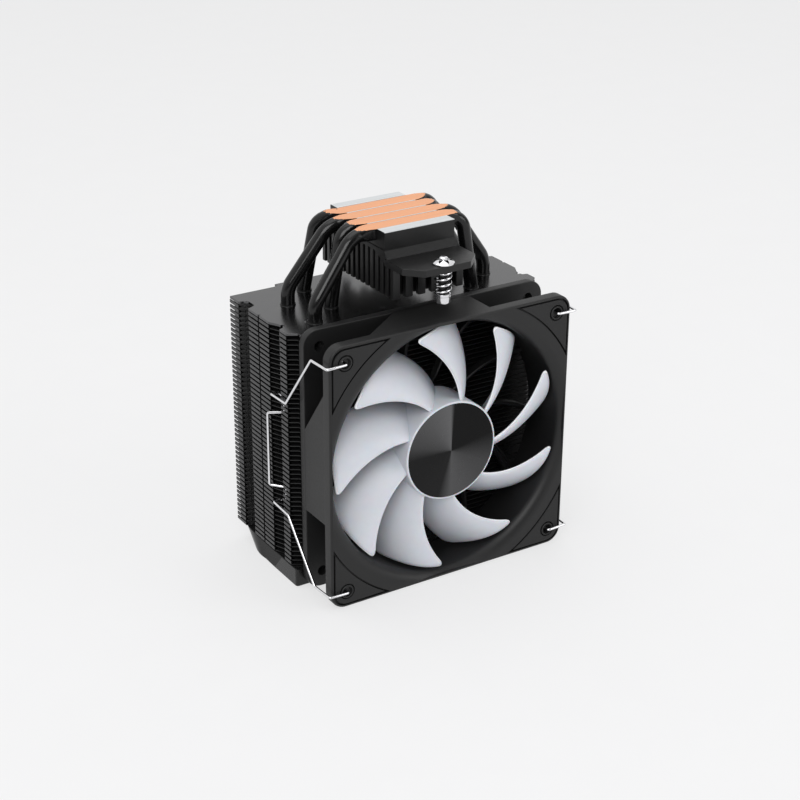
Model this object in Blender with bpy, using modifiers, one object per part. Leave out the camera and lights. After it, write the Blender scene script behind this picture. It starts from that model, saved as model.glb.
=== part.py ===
"""CPU tower cooler with one 120 mm fan, standing on its crown cover with the contact face up.

The frame's origin is the centre of the contact face. +Z is that face's normal, X runs across
the fan and +Y is the way the air flows, from the fan through the fin stack.
Every size below is in millimetres. The meshes are written in metres.
"""
import math

import bmesh
import bpy
from mathutils import Matrix, Vector

MM = 0.001
GAP = 0.3                       # clearance left between two pieces that touch
MERGE = 0.00001                 # merge distance in metres

# Fan: the common 120 mm square, 25 mm deep, with holes on a 105 mm square
FAN_SIDE = 120.0
FAN_DEPTH = 25.0
FAN_HOLE_PITCH = 105.0
FAN_HOLE_RADIUS = 2.3
FAN_CORNER_RADIUS = 7.0
FAN_BORE_RADIUS = 57.6
FLARE_RADIUS = 62.8
FLARE_DEPTH = 4.0
FRONT_FLANGE = 5.5
REAR_FLANGE = 4.0
FAN_FRONT_Y = -49.4             # the fan's front face, from the contact face's centre
FAN_AXIS_Z = -93.0              # the fan's axis, below the contact face

# Fin stack
STACK_WIDTH = 125.8
STACK_FRONT = FAN_FRONT_Y + FAN_DEPTH + 0.4
STACK_REAR = 30.7
STACK_REAR_STEP = 2.6           # the middle of the rear edge stands this far out
TOP_PLATE_Z = -35.9
TOP_PLATE_THICKNESS = 1.0
STACK_BOTTOM_Z = -144.3
FIN_LAYERS = 9                  # thick layers that stand for the real, thinner fins
FIN_LAYER_THICKNESS = 2.0
STACK_MID_Y = 3.1

# Heat pipes: four 6 mm pipes, each with one leg in the inner row and one in the outer row
PIPE_RADIUS = 3.0
PIPE_HOLE_APOTHEM = 3.35
STRIP_PITCH = 8.3
LEG_PITCH = 11.6
LEG_INNER_X = 31.9
LEG_OUTER_X = 46.3
PIPE_END_Z = -148.2
PIPE_SIDES = 8

# Base
BASE_WIDTH = 34.6
BASE_LENGTH = 44.3
BASE_THICKNESS = 7.6
PIN_ROWS = 15
PIN_ROW_PITCH = 4.0
PIN_LENGTH_Y = 2.4
PIN_COLUMNS = 6
PIN_COLUMN_PITCH = 6.3
PIN_WIDTH_X = 3.6
PIN_BOTTOM_Z = -27.4
TAB_TOP_Z = -11.0
TAB_THICKNESS = 3.0
TAB_HALF_WIDTH = 18.0
TAB_END_Y = 43.8
TAB_CHAMFER = 6.8
SCREW_Y = 40.0

# Spring screws
SCREW_RADIUS = 1.95
SCREW_HEAD_RADIUS = 3.3
SCREW_HEAD_HEIGHT = 4.4
SPRING_LENGTH = 9.8
SPRING_MEAN_RADIUS = 3.2
SPRING_WIRE = 1.1
SPRING_TURNS = 4

# Crown cover
CROWN_TOP_Z = STACK_BOTTOM_Z - GAP
CROWN_BOTTOM_Z = FAN_AXIS_Z - FAN_SIDE / 2      # level with the fan, so that the cooler stands on both
CROWN_WALL = 1.8

# Impeller
BLADES = 9
BLADE_TIP_RADIUS = 56.4
HUB_RADIUS = 22.6

# Wire clips
CLIP_WIRE_RADIUS = 0.6


def remove_everything():
    """Start from an empty scene."""
    for item in list(bpy.data.objects):
        bpy.data.objects.remove(item, do_unlink=True)


def collection(name):
    """A new collection linked to the scene."""
    made = bpy.data.collections.new(name)
    bpy.context.scene.collection.children.link(made)
    return made


remove_everything()
PARTS = collection("cpu_tower_cooler")
CUTTERS = collection("cutters")


def material(name, colour, roughness, metallic=0.0):
    """A plain Principled material."""
    made = bpy.data.materials.new(name)
    made.use_nodes = True
    shader = made.node_tree.nodes["Principled BSDF"]
    shader.inputs["Base Color"].default_value = (*colour, 1.0)
    shader.inputs["Roughness"].default_value = roughness
    shader.inputs["Metallic"].default_value = metallic
    made.diffuse_color = (*colour, 1.0)
    return made


BLACK_COATED = material("black_coated_aluminium", (0.018, 0.018, 0.019), 0.38, 0.6)
BLACK_GLOSS = material("black_gloss_plate", (0.02, 0.02, 0.021), 0.22, 0.5)
BARE_ALUMINIUM = material("milled_aluminium", (0.72, 0.74, 0.75), 0.35, 1.0)
COPPER = material("milled_copper", (0.86, 0.48, 0.33), 0.3, 1.0)
STEEL = material("nickel_plated_steel", (0.75, 0.75, 0.76), 0.18, 1.0)
BLACK_PLASTIC = material("black_plastic", (0.022, 0.022, 0.023), 0.45)
RUBBER = material("black_rubber", (0.028, 0.028, 0.028), 0.7)
FROSTED = material("frosted_white_plastic", (0.78, 0.8, 0.83), 0.35)
HUB_METAL = material("spun_black_metal", (0.03, 0.03, 0.032), 0.28, 0.9)
FERRITE = material("ferrite", (0.06, 0.06, 0.065), 0.6)
LAMINATION = material("lamination_steel", (0.32, 0.33, 0.35), 0.4, 0.9)
ENAMEL_WIRE = material("enamelled_copper_wire", (0.55, 0.2, 0.08), 0.35, 0.8)
CIRCUIT_BOARD = material("circuit_board", (0.02, 0.12, 0.06), 0.5)
BRONZE = material("sintered_bronze", (0.45, 0.3, 0.14), 0.45, 0.9)
CABLE_BLACK = material("cable_sleeve", (0.02, 0.02, 0.02), 0.6)
NYLON = material("white_nylon", (0.75, 0.75, 0.72), 0.5)


def metres(points):
    """Millimetre points as metre tuples."""
    return [tuple(value * MM for value in point) for point in points]


def place(mesh, name, finish, target=PARTS, smooth=False):
    """Link a mesh as a named object with one material."""
    made = bpy.data.objects.new(name, mesh)
    target.objects.link(made)
    if finish:
        mesh.materials.append(finish)
    if smooth:
        mesh.shade_smooth()
        mesh.set_sharp_from_angle(angle=math.radians(35))
    return made


def clean(mesh):
    """Weld a mesh's doubled points and turn its faces outward."""
    work = bmesh.new()
    work.from_mesh(mesh)
    bmesh.ops.remove_doubles(work, verts=work.verts, dist=MERGE)
    bmesh.ops.recalc_face_normals(work, faces=work.faces)
    work.to_mesh(mesh)
    work.free()
    return mesh


def mesh_from_curve(curve, name):
    """Turn curve data into a welded mesh."""
    holder = bpy.data.objects.new(name + "_curve", curve)
    bpy.context.scene.collection.objects.link(holder)
    evaluated = holder.evaluated_get(bpy.context.evaluated_depsgraph_get())
    mesh = bpy.data.meshes.new_from_object(evaluated)
    mesh.name = name
    mesh.transform(holder.matrix_world)
    bpy.data.objects.remove(holder, do_unlink=True)
    mesh.materials.clear()
    return clean(mesh)


def plate_mesh(name, outlines, low, high):
    """A flat plate from closed outlines (the edge, then its holes), between two heights on Z."""
    curve = bpy.data.curves.new(name, "CURVE")
    curve.dimensions = "2D"
    curve.fill_mode = "BOTH"
    curve.extrude = (high - low) * MM / 2
    for outline in outlines:
        spline = curve.splines.new("POLY")
        spline.points.add(len(outline) - 1)
        for point, (x, y) in zip(spline.points, outline):
            point.co = (x * MM, y * MM, 0.0, 1.0)
        spline.use_cyclic_u = True
    mesh = mesh_from_curve(curve, name)
    mesh.transform(Matrix.Translation((0.0, 0.0, (low + high) / 2 * MM)))
    return mesh


def tube_mesh(name, points, radius, resolution, closed=False):
    """A round wire or cable through a list of points."""
    curve = bpy.data.curves.new(name, "CURVE")
    curve.dimensions = "3D"
    curve.bevel_depth = radius * MM
    curve.bevel_resolution = resolution
    curve.use_fill_caps = not closed
    spline = curve.splines.new("POLY")
    spline.points.add(len(points) - 1)
    for point, place_mm in zip(spline.points, points):
        point.co = (*(value * MM for value in place_mm), 1.0)
    spline.use_cyclic_u = closed
    return mesh_from_curve(curve, name)


def turned(name, profile, finish, steps=32, ring=True, target=PARTS):
    """A turned piece about its local Z. Each profile point is (radius, height)."""
    mesh = bpy.data.meshes.new(name)
    points = metres([(radius, 0.0, height) for radius, height in profile])
    edges = [(index, index + 1) for index in range(len(points) - 1)]
    if ring:
        edges.append((len(points) - 1, 0))
    mesh.from_pydata(points, edges, [])
    made = place(mesh, name, finish, target)
    turn = made.modifiers.new("turn", "SCREW")
    turn.steps = steps
    turn.render_steps = steps
    turn.use_merge_vertices = True
    turn.merge_threshold = MERGE
    turn.use_smooth_shade = False
    return made


def boolean(target, tool, operation):
    """Add a boolean modifier and hide its tool."""
    step = target.modifiers.new(operation.lower(), "BOOLEAN")
    step.operation = operation
    step.object = tool
    tool.hide_render = True
    tool.display_type = "WIRE"


def box_mesh(name, low, high):
    """A box between two corners, made from a unit cube."""
    work = bmesh.new()
    bmesh.ops.create_cube(work, size=1.0)
    size = [(b - a) * MM for a, b in zip(low, high)]
    centre = [(a + b) / 2 * MM for a, b in zip(low, high)]
    bmesh.ops.scale(work, vec=size, verts=work.verts)
    bmesh.ops.translate(work, vec=centre, verts=work.verts)
    mesh = bpy.data.meshes.new(name)
    work.to_mesh(mesh)
    work.free()
    return mesh


def joined_boxes(name, boxes):
    """One mesh that holds several separate boxes, each given by two corners."""
    work = bmesh.new()
    for low, high in boxes:
        piece = box_mesh(name, low, high)
        work.from_mesh(piece)
        bpy.data.meshes.remove(piece)
    mesh = bpy.data.meshes.new(name)
    work.to_mesh(mesh)
    work.free()
    return mesh


def cylinder_mesh(name, radius, low, high, sides, centre=(0.0, 0.0)):
    """A cylinder along Z between two heights."""
    work = bmesh.new()
    bmesh.ops.create_cone(work, cap_ends=True, segments=sides, radius1=radius * MM,
                          radius2=radius * MM, depth=(high - low) * MM)
    shift = (centre[0] * MM, centre[1] * MM, (low + high) / 2 * MM)
    bmesh.ops.translate(work, vec=shift, verts=work.verts)
    mesh = bpy.data.meshes.new(name)
    work.to_mesh(mesh)
    work.free()
    return mesh


def circle(radius, sides, centre=(0.0, 0.0), turn=0.0):
    """A closed round outline."""
    angles = [turn + 2 * math.pi * index / sides for index in range(sides)]
    return [(centre[0] + radius * math.cos(a), centre[1] + radius * math.sin(a)) for a in angles]


def rounded_square(side, radius, steps=4):
    """A closed square outline with round corners."""
    reach = side / 2 - radius
    outline = []
    for quarter, (sx, sy) in enumerate(((1, 1), (-1, 1), (-1, -1), (1, -1))):
        for step in range(steps + 1):
            angle = math.pi / 2 * (quarter + step / steps)
            outline.append((sx * reach + radius * math.cos(angle), sy * reach + radius * math.sin(angle)))
    return outline


def lofted(name, rings, finish, target=PARTS, smooth=True):
    """A closed skin over rings of equal length, with the first and the last ring filled."""
    work = bmesh.new()
    loops = [[work.verts.new(point) for point in metres(ring)] for ring in rings]
    for lower, upper in zip(loops[:-1], loops[1:]):
        for index in range(len(lower)):
            after = (index + 1) % len(lower)
            work.faces.new((lower[index], lower[after], upper[after], upper[index]))
    work.faces.new(list(reversed(loops[0])))
    work.faces.new(loops[-1])
    bmesh.ops.recalc_face_normals(work, faces=work.faces)
    mesh = bpy.data.meshes.new(name)
    work.to_mesh(mesh)
    work.free()
    return place(mesh, name, finish, target, smooth)


def filleted(points, radius, steps=3):
    """A path with each inner corner replaced by a small arc of chords."""
    path = [Vector(points[0])]
    for before, corner, after in zip(points[:-2], points[1:-1], points[2:]):
        corner = Vector(corner)
        back = (Vector(before) - corner).normalized()
        ahead = (Vector(after) - corner).normalized()
        half = back.angle(ahead) / 2
        reach = radius / math.tan(half)
        start = corner + back * reach
        end = corner + ahead * reach
        centre = corner + (back + ahead).normalized() * (radius / math.sin(half))
        for step in range(steps + 1):
            chord = start.lerp(end, step / steps) - centre
            path.append(centre + chord.normalized() * radius)
    path.append(Vector(points[-1]))
    return path


def curved(points, steps=4):
    """A smooth path through points (Catmull-Rom)."""
    knots = [Vector(p) for p in points]
    knots = [knots[0] * 2 - knots[1], *knots, knots[-1] * 2 - knots[-2]]
    path = []
    for a, b, c, d in zip(knots[:-3], knots[1:-2], knots[2:-1], knots[3:]):
        for step in range(steps):
            t = step / steps
            path.append(0.5 * (2 * b + (c - a) * t + (2 * a - 5 * b + 4 * c - d) * t * t
                               + (3 * b - a - 3 * c + d) * t ** 3))
    path.append(knots[-2])
    return path


# ---------------------------------------------------------------------------
# Fins and covers
# ---------------------------------------------------------------------------
def stack_half_outline(edge):
    """The right half of a fin's edge, front to rear, out to x = edge on the full-width stretches."""
    shallow = 4.1               # the front recess behind the fan's corner
    clip_recess = 2.4
    rear_notch = 2.5
    front = STACK_FRONT
    return [
        (edge - shallow, front),
        (edge - shallow, front + 2.3),
        (edge, front + 4.6),
        (edge, front + 10.4),
        (edge - clip_recess, front + 11.0),
        (edge - clip_recess, front + 15.1),
        (edge, front + 19.6),
        (edge, front + 37.7),
        (edge - rear_notch, front + 38.3),
        (edge - rear_notch, front + 45.9),
        (edge, front + 46.6),
        (edge, STACK_REAR),
        (39.6, STACK_REAR),
        (39.6, STACK_REAR + STACK_REAR_STEP),
    ]


def stack_outline(edge):
    """A fin's whole edge, anticlockwise from above."""
    half = stack_half_outline(edge)
    return half + [(-x, y) for x, y in reversed(half)]


def leg_positions():
    """Leg centres as (pipe, x, y). Pipes count from the fan; each has one inner and one outer leg."""
    legs = []
    for pipe in range(4):
        y = STACK_MID_Y + (pipe - 1.5) * LEG_PITCH
        left, right = (LEG_OUTER_X, LEG_INNER_X) if pipe % 2 == 0 else (LEG_INNER_X, LEG_OUTER_X)
        legs.append((pipe, -left, y))
        legs.append((pipe, right, y))
    return legs


def leg_holes(sides):
    """Outlines of the eight pipe holes in a fin."""
    radius = PIPE_HOLE_APOTHEM / math.cos(math.pi / sides)
    return [circle(radius, sides, (x, y), math.pi / sides) for _, x, y in leg_positions()]


def top_fin():
    """The glossy fin that closes the stack on the base's side."""
    low = TOP_PLATE_Z - TOP_PLATE_THICKNESS
    mesh = plate_mesh("top_fin", [stack_outline(STACK_WIDTH / 2), *leg_holes(8)], low, TOP_PLATE_Z)
    place(mesh, "top_fin", BLACK_GLOSS)


def fin_stack():
    """Fin layers held together by their folded side tabs, as one interlocked block."""
    top = TOP_PLATE_Z - TOP_PLATE_THICKNESS - GAP
    edge = STACK_WIDTH / 2 - 0.2
    pitch = (top - STACK_BOTTOM_Z - FIN_LAYER_THICKNESS) / (FIN_LAYERS - 1)
    work = bmesh.new()
    for layer in range(FIN_LAYERS):
        low = STACK_BOTTOM_Z + layer * pitch
        mesh = plate_mesh("layer", [stack_outline(edge), *leg_holes(6)], low, low + FIN_LAYER_THICKNESS)
        work.from_mesh(mesh)
        bpy.data.meshes.remove(mesh)
    mesh = bpy.data.meshes.new("fin_stack")
    work.to_mesh(mesh)
    work.free()
    stack = place(mesh, "fin_stack", BLACK_COATED)
    walls = []
    for side in (-1, 1):
        for start, end in ((5.0, 10.0), (20.0, 37.3)):
            near, far = sorted((side * (STACK_WIDTH / 2 - 0.9), side * STACK_WIDTH / 2))
            walls.append(((near, STACK_FRONT + start, STACK_BOTTOM_Z + 0.2),
                          (far, STACK_FRONT + end, top - 0.2)))
    tabs = place(joined_boxes("side_tabs", walls), "side_tabs", None, CUTTERS)
    boolean(stack, tabs, "UNION")


def crown_ring(points, height):
    """A closed ring from right-half points, at one height."""
    return [(x, y, height) for x, y in points + [(-x, y) for x, y in reversed(points)]]


def crown_cover():
    """The hollow cap over the pipe ends, flush with the fins in front and swept up behind."""
    edge = STACK_WIDTH / 2
    front = STACK_FRONT
    upper = [(edge, front), (edge, 22.1), (edge - 4.9, 30.5), (30.0, 32.5)]
    lower = [(edge, front), (edge, 4.6), (edge - 10.4, 26.5), (30.0, 28.5)]
    cover = lofted("crown_cover", [crown_ring(lower, CROWN_BOTTOM_Z), crown_ring(upper, CROWN_TOP_Z)],
                   BLACK_PLASTIC, smooth=False)
    inner = [(edge - 4.2, front + CROWN_WALL), (edge - 4.2, 5.0), (edge - 12.7, 24.2), (30.0, 26.2)]
    outline = inner + [(-x, y) for x, y in reversed(inner)]
    cavity = plate_mesh("crown_cavity", [outline], CROWN_BOTTOM_Z + CROWN_WALL, CROWN_TOP_Z + 2.0)
    boolean(cover, place(cavity, "crown_cavity", None, CUTTERS), "DIFFERENCE")


# ---------------------------------------------------------------------------
# Heat pipes and base
# ---------------------------------------------------------------------------
STRIP_CENTRE_Z = -2.3


def leg_path(strip_y, leg_x, leg_y):
    """Half of a pipe's centre line, from the middle of its strip to its sealed end."""
    bend_out = 19.0
    outer = leg_x > (LEG_INNER_X + LEG_OUTER_X) / 2
    if outer:
        corners = [(0.0, STRIP_CENTRE_Z), (27.5, STRIP_CENTRE_Z), (leg_x, -28.5), (leg_x, PIPE_END_Z)]
        radius = 11.0
    else:
        corners = [(0.0, STRIP_CENTRE_Z), (leg_x - 5.0, STRIP_CENTRE_Z), (leg_x, -34.5),
                   (leg_x, PIPE_END_Z)]
        radius = 7.2
    flat = filleted([(x, 0.0, z) for x, z in corners], radius, 4)
    flat[1:1] = [Vector((12.0, 0.0, STRIP_CENTRE_Z)), Vector((BASE_WIDTH / 2, 0.0, STRIP_CENTRE_Z))]
    path = []
    for point in flat:
        moved = min(max((point.x - bend_out) / (leg_x - bend_out), 0.0), 1.0)
        path.append(Vector((point.x, strip_y + (leg_y - strip_y) * moved, point.z)))
    return path


def pipe_ring(centre, tangent, pressed):
    """One cross-section: round, or pressed wide in the base, and milled off at the contact face."""
    side = Vector((0.0, 0.0, 1.0)).cross(tangent)
    side = side.normalized() if side.length > 0.001 else Vector((0.0, 1.0, 0.0))
    side = Vector((side.x, abs(side.y), side.z))
    up = tangent.cross(side).normalized()
    half_width = PIPE_RADIUS + 0.68 * pressed
    half_height = PIPE_RADIUS - 0.3 * pressed
    squareness = 2.0 + 2.0 * pressed
    ring = []
    for index in range(PIPE_SIDES):
        angle = 2 * math.pi * (index + 0.5) / PIPE_SIDES
        cosine, sine = math.cos(angle), math.sin(angle)
        reach = (abs(cosine) ** squareness + abs(sine) ** squareness) ** (-1 / squareness)
        point = centre + side * (half_width * reach * cosine) + up * (half_height * reach * sine)
        ring.append((point.x, point.y, min(point.z, 0.0)))
    return ring


def heat_pipes():
    """Four U pipes, pressed and milled flat where they cross the contact face."""
    for pipe in range(4):
        strip_y = (pipe - 1.5) * STRIP_PITCH
        halves = [leg_path(strip_y, abs(x), y) for number, x, y in leg_positions() if number == pipe]
        left = [Vector((-p.x, p.y, p.z)) for p in reversed(halves[0])]
        path = left + halves[1][1:]
        rings = []
        for index, centre in enumerate(path):
            before = path[max(index - 1, 0)]
            after = path[min(index + 1, len(path) - 1)]
            pressed = min(max((24.0 - abs(centre.x)) / 6.0, 0.0), 1.0)
            rings.append(pipe_ring(centre, (after - before).normalized(), pressed))
        lofted(f"heat_pipe_{pipe + 1}", rings, COPPER)


def across_x(mesh):
    """Stand a plate drawn on (Y, Z) up, so that its thickness runs along X."""
    mesh.transform(Matrix.Rotation(math.pi / 2, 4, "Z") @ Matrix.Rotation(math.pi / 2, 4, "X"))
    return mesh


def base_plate():
    """The aluminium contact block, grooved along X for the pipes."""
    half_x, half_y = BASE_WIDTH / 2, BASE_LENGTH / 2
    floor = -5.6
    groove_half = 4.0
    profile = [(-half_y, -BASE_THICKNESS), (half_y, -BASE_THICKNESS), (half_y, 0.0)]
    for pipe in reversed(range(4)):
        centre = (pipe - 1.5) * STRIP_PITCH
        profile += [(centre + groove_half, 0.0), (centre + groove_half, floor + 1.7),
                    (centre + groove_half - 1.5, floor), (centre - groove_half + 1.5, floor),
                    (centre - groove_half, floor + 1.7), (centre - groove_half, 0.0)]
    profile.append((-half_y, 0.0))
    place(across_x(plate_mesh("base_plate", [profile], -half_x, half_x)), "base_plate", BARE_ALUMINIUM)


def slab_underside(y):
    """Height of the roof between the pins, which follows the step down to the mounting tabs."""
    slope = min(max((abs(y) - 14.0) / 10.0, 0.0), 1.0)
    return -9.6 - slope * 4.45


def base_heatsink():
    """The black pin block under the base plate, with its two mounting tabs."""
    half_x = (PIN_COLUMNS - 1) / 2 * PIN_COLUMN_PITCH + PIN_WIDTH_X / 2
    half_y = (PIN_ROWS - 1) / 2 * PIN_ROW_PITCH + PIN_LENGTH_Y / 2
    top = -BASE_THICKNESS - GAP
    right = [(14.0, slab_underside(14.0)), (24.0, slab_underside(24.0)), (half_y, slab_underside(half_y)),
             (half_y, TAB_TOP_Z - 1.5), (25.8, TAB_TOP_Z - 1.4), (22.3, top)]
    profile = right + [(-y, z) for y, z in reversed(right)]
    block = place(across_x(plate_mesh("base_heatsink", [profile], -half_x, half_x)),
                  "base_heatsink", BLACK_COATED)
    inset = 0.02
    pins = []
    for row in range(PIN_ROWS):
        y = (row - (PIN_ROWS - 1) / 2) * PIN_ROW_PITCH
        for column in range(PIN_COLUMNS):
            x = (column - (PIN_COLUMNS - 1) / 2) * PIN_COLUMN_PITCH
            half_pin_x, half_pin_y = PIN_WIDTH_X / 2 - inset, PIN_LENGTH_Y / 2 - inset
            pins.append(((x - half_pin_x, y - half_pin_y, PIN_BOTTOM_Z),
                         (x + half_pin_x, y + half_pin_y, slab_underside(y) + 0.4)))
    boolean(block, place(joined_boxes("pins", pins), "pins", None, CUTTERS), "UNION")
    for side, end in ((-1, "front"), (1, "rear")):
        inner_x = TAB_HALF_WIDTH - TAB_CHAMFER
        outline = [(-TAB_HALF_WIDTH, side * 24.9), (TAB_HALF_WIDTH, side * 24.9),
                   (TAB_HALF_WIDTH, side * (TAB_END_Y - TAB_CHAMFER)), (inner_x, side * TAB_END_Y),
                   (-inner_x, side * TAB_END_Y), (-TAB_HALF_WIDTH, side * (TAB_END_Y - TAB_CHAMFER))]
        hole = circle(SCREW_RADIUS + 0.4, 12, (0.0, side * SCREW_Y))
        tab = plate_mesh(f"tab_{end}", [outline, hole], TAB_TOP_Z - TAB_THICKNESS, TAB_TOP_Z)
        boolean(block, place(tab, f"tab_{end}", None, CUTTERS), "UNION")


def spring_screws():
    """On each tab: a headed screw, its coil spring and the clip ring that keeps it captive."""
    under_tab = TAB_TOP_Z - TAB_THICKNESS
    head_top = under_tab - SPRING_LENGTH
    ring_low = TAB_TOP_Z + 0.25
    ring_high = ring_low + 0.8
    neck = SCREW_RADIUS - 0.45
    tip = ring_high + 2.0
    screw_profile = [
        (0.0, tip), (SCREW_RADIUS - 0.6, tip), (SCREW_RADIUS, tip - 0.6), (SCREW_RADIUS, ring_high + GAP),
        (neck, ring_high + GAP), (neck, ring_low - 0.2), (SCREW_RADIUS, ring_low - 0.2),
        (SCREW_RADIUS, head_top), (SCREW_HEAD_RADIUS, head_top),
        (SCREW_HEAD_RADIUS, head_top - SCREW_HEAD_HEIGHT + 0.5),
        (SCREW_HEAD_RADIUS - 0.5, head_top - SCREW_HEAD_HEIGHT), (0.0, head_top - SCREW_HEAD_HEIGHT)]
    ring_inner = neck + 0.08
    ring_profile = [(SCREW_RADIUS + 1.0, ring_high + 0.9), (4.7, ring_high - 0.3), (4.7, ring_low),
                    (ring_inner, ring_low), (ring_inner, ring_high)]
    wire = SPRING_WIRE / 2
    low, high = head_top + wire + 0.15, under_tab - wire - 0.15
    turn_points = 8
    coil = []
    for index in range(SPRING_TURNS * turn_points + 1):
        angle = 2 * math.pi * index / turn_points
        rise = low + (high - low) * index / (SPRING_TURNS * turn_points)
        coil.append((SPRING_MEAN_RADIUS * math.cos(angle), SPRING_MEAN_RADIUS * math.sin(angle), rise))
    for side, end in ((-1, "front"), (1, "rear")):
        spot = (0.0, side * SCREW_Y * MM, 0.0)
        turned(f"spring_screw_{end}", screw_profile, STEEL, 12, ring=False).location = spot
        turned(f"screw_retainer_{end}", ring_profile, STEEL, 12).location = spot
        spring = place(tube_mesh(f"screw_spring_{end}", coil, wire, 1), f"screw_spring_{end}", STEEL)
        spring.location = spot


# ---------------------------------------------------------------------------
# Fan. Its pieces are drawn as seen from the front: local X right, local Y up, local -Z into the fan
# ---------------------------------------------------------------------------
def on_fan(piece):
    """Stand a fan piece up on the fan's axis."""
    piece.location = (0.0, FAN_FRONT_Y * MM, FAN_AXIS_Z * MM)
    piece.rotation_euler = (math.pi / 2, 0.0, 0.0)
    return piece


def fan_plate(name, outlines, near, far, finish=None, target=PARTS):
    """A plate of the fan between two depths behind its front face."""
    return on_fan(place(plate_mesh(name, outlines, -far, -near), name, finish, target))


def fan_turned(name, profile, finish, steps=32, ring=True, target=PARTS):
    """A turned piece of the fan. Each profile point is (radius, depth)."""
    return on_fan(turned(name, [(r, -d) for r, d in profile], finish, steps, ring, target))


PAD_ARC_RADIUS = 67.2
PAD_EDGE = FAN_SIDE / 2 - 1.7
PAD_THICKNESS = 2.0


def pad_outline(grow=0.0):
    """The corner pad of the upper right corner: two straight edges and an arc round the opening."""
    edge = PAD_EDGE + grow
    arc = PAD_ARC_RADIUS - grow
    reach = FAN_CORNER_RADIUS - 1.2
    start = math.asin(min(edge / arc, 1.0))
    first, last = math.pi / 2 - start, start
    corner = [(edge - reach + reach * math.cos(a), edge - reach + reach * math.sin(a))
              for a in (0.0, math.pi / 4, math.pi / 2)]
    curve = [(arc * math.cos(a), arc * math.sin(a))
             for a in (last + (first - last) * step / 3 for step in range(4))]
    return corner + curve


def mirrored(outline, sx, sy):
    """An outline mirrored into another corner."""
    return [(sx * x, sy * y) for x, y in outline]


CORNERS = {"upper_right": (1, 1), "upper_left": (-1, 1), "lower_left": (-1, -1), "lower_right": (1, -1)}


def bell_mouth():
    """Cutter for the opening's flare, which the thin rims at the middle of each side cut short."""
    rings = []
    for radius, limit, height in ((FLARE_RADIUS + 0.9, FAN_SIDE / 2 - 1.1, 0.6),
                                  (FAN_BORE_RADIUS - 0.2, FAN_SIDE / 2, -FLARE_DEPTH)):
        ring = []
        for x, y in circle(radius, 40):
            ring.append((max(-limit, min(limit, x)), max(-limit, min(limit, y)), height))
        rings.append(ring)
    return lofted("bell_mouth", rings, None, CUTTERS, smooth=False)


STAYS = 11


def stay_line(index):
    """Inner and outer end of a stay, which leans clockwise on its way out from the motor's seat."""
    middle = math.radians(99.5 - 360.0 / STAYS * index)
    inner, outer = middle + math.radians(14.0), middle - math.radians(6.0)
    return (Vector((20.5 * math.cos(inner), 20.5 * math.sin(inner))),
            Vector((58.6 * math.cos(outer), 58.6 * math.sin(outer))))


def fan_frame():
    """Square frame: two flanges, a round duct, its stays and the motor's seat and bearing tube."""
    half = FAN_HOLE_PITCH / 2
    holes = [circle(FAN_HOLE_RADIUS, 8, (sx * half, sy * half)) for sx, sy in CORNERS.values()]
    square = rounded_square(FAN_SIDE, FAN_CORNER_RADIUS)
    frame = fan_plate("fan_frame", [square, *holes], 0.0, FRONT_FLANGE, BLACK_PLASTIC)
    rear = fan_plate("rear_flange", [square, *holes], FAN_DEPTH - REAR_FLANGE, FAN_DEPTH, target=CUTTERS)
    boolean(frame, rear, "UNION")
    duct = cylinder_mesh("duct", FAN_SIDE / 2 - 0.4, -FAN_DEPTH + 1.0, -1.0, 40)
    boolean(frame, on_fan(place(duct, "duct", None, CUTTERS)), "UNION")
    bore = cylinder_mesh("bore", FAN_BORE_RADIUS, -FAN_DEPTH - 1.0, 1.0, 40)
    boolean(frame, on_fan(place(bore, "bore", None, CUTTERS)), "DIFFERENCE")
    boolean(frame, on_fan(bell_mouth()), "DIFFERENCE")
    seat = fan_turned("motor_seat", [(5.4, 7.0), (5.4, 22.0), (22.0, 22.0), (22.0, 24.4), (6.3, 24.4),
                                     (6.3, 23.4), (4.1, 23.4), (4.1, 7.0)], None, 24, target=CUTTERS)
    boolean(frame, seat, "UNION")
    stays = []
    for index in range(STAYS):
        start, end = stay_line(index)
        run = end - start
        stay = box_mesh(f"stay_{index + 1}", (0.0, -1.1, -24.2), (run.length, 1.1, -22.2))
        stay.transform(Matrix.Rotation(math.atan2(run.y, run.x), 4, "Z"))
        stay.transform(Matrix.Translation(start.to_3d() * MM))
        stays.append(stay)
    work = bmesh.new()
    for stay in stays:
        work.from_mesh(stay)
        bpy.data.meshes.remove(stay)
    mesh = bpy.data.meshes.new("stays")
    work.to_mesh(mesh)
    work.free()
    boolean(frame, on_fan(place(mesh, "stays", None, CUTTERS)), "UNION")
    work = bmesh.new()
    for near, far in ((-1.0, PAD_THICKNESS + 0.1), (FAN_DEPTH - PAD_THICKNESS - 0.1, FAN_DEPTH + 1.0)):
        for sx, sy in CORNERS.values():
            mesh = plate_mesh("pocket", [mirrored(pad_outline(GAP), sx, sy)], -far, -near)
            work.from_mesh(mesh)
            bpy.data.meshes.remove(mesh)
    mesh = bpy.data.meshes.new("pad_pockets")
    work.to_mesh(mesh)
    work.free()
    boolean(frame, on_fan(place(mesh, "pad_pockets", None, CUTTERS)), "DIFFERENCE")


def corner_pads():
    """Eight rubber pads let into the flanges, one for each corner of each face."""
    half = FAN_HOLE_PITCH / 2
    spans = {"front": (-0.1, PAD_THICKNESS - 0.2),
             "rear": (FAN_DEPTH - PAD_THICKNESS + 0.2, FAN_DEPTH + 0.1)}
    for face, (near, far) in spans.items():
        for corner, (sx, sy) in CORNERS.items():
            hole = circle(FAN_HOLE_RADIUS, 8, (sx * half, sy * half))
            outline = mirrored(pad_outline(), sx, sy)
            fan_plate(f"corner_pad_{face}_{corner}", [outline, hole], near, far, RUBBER)


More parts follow.
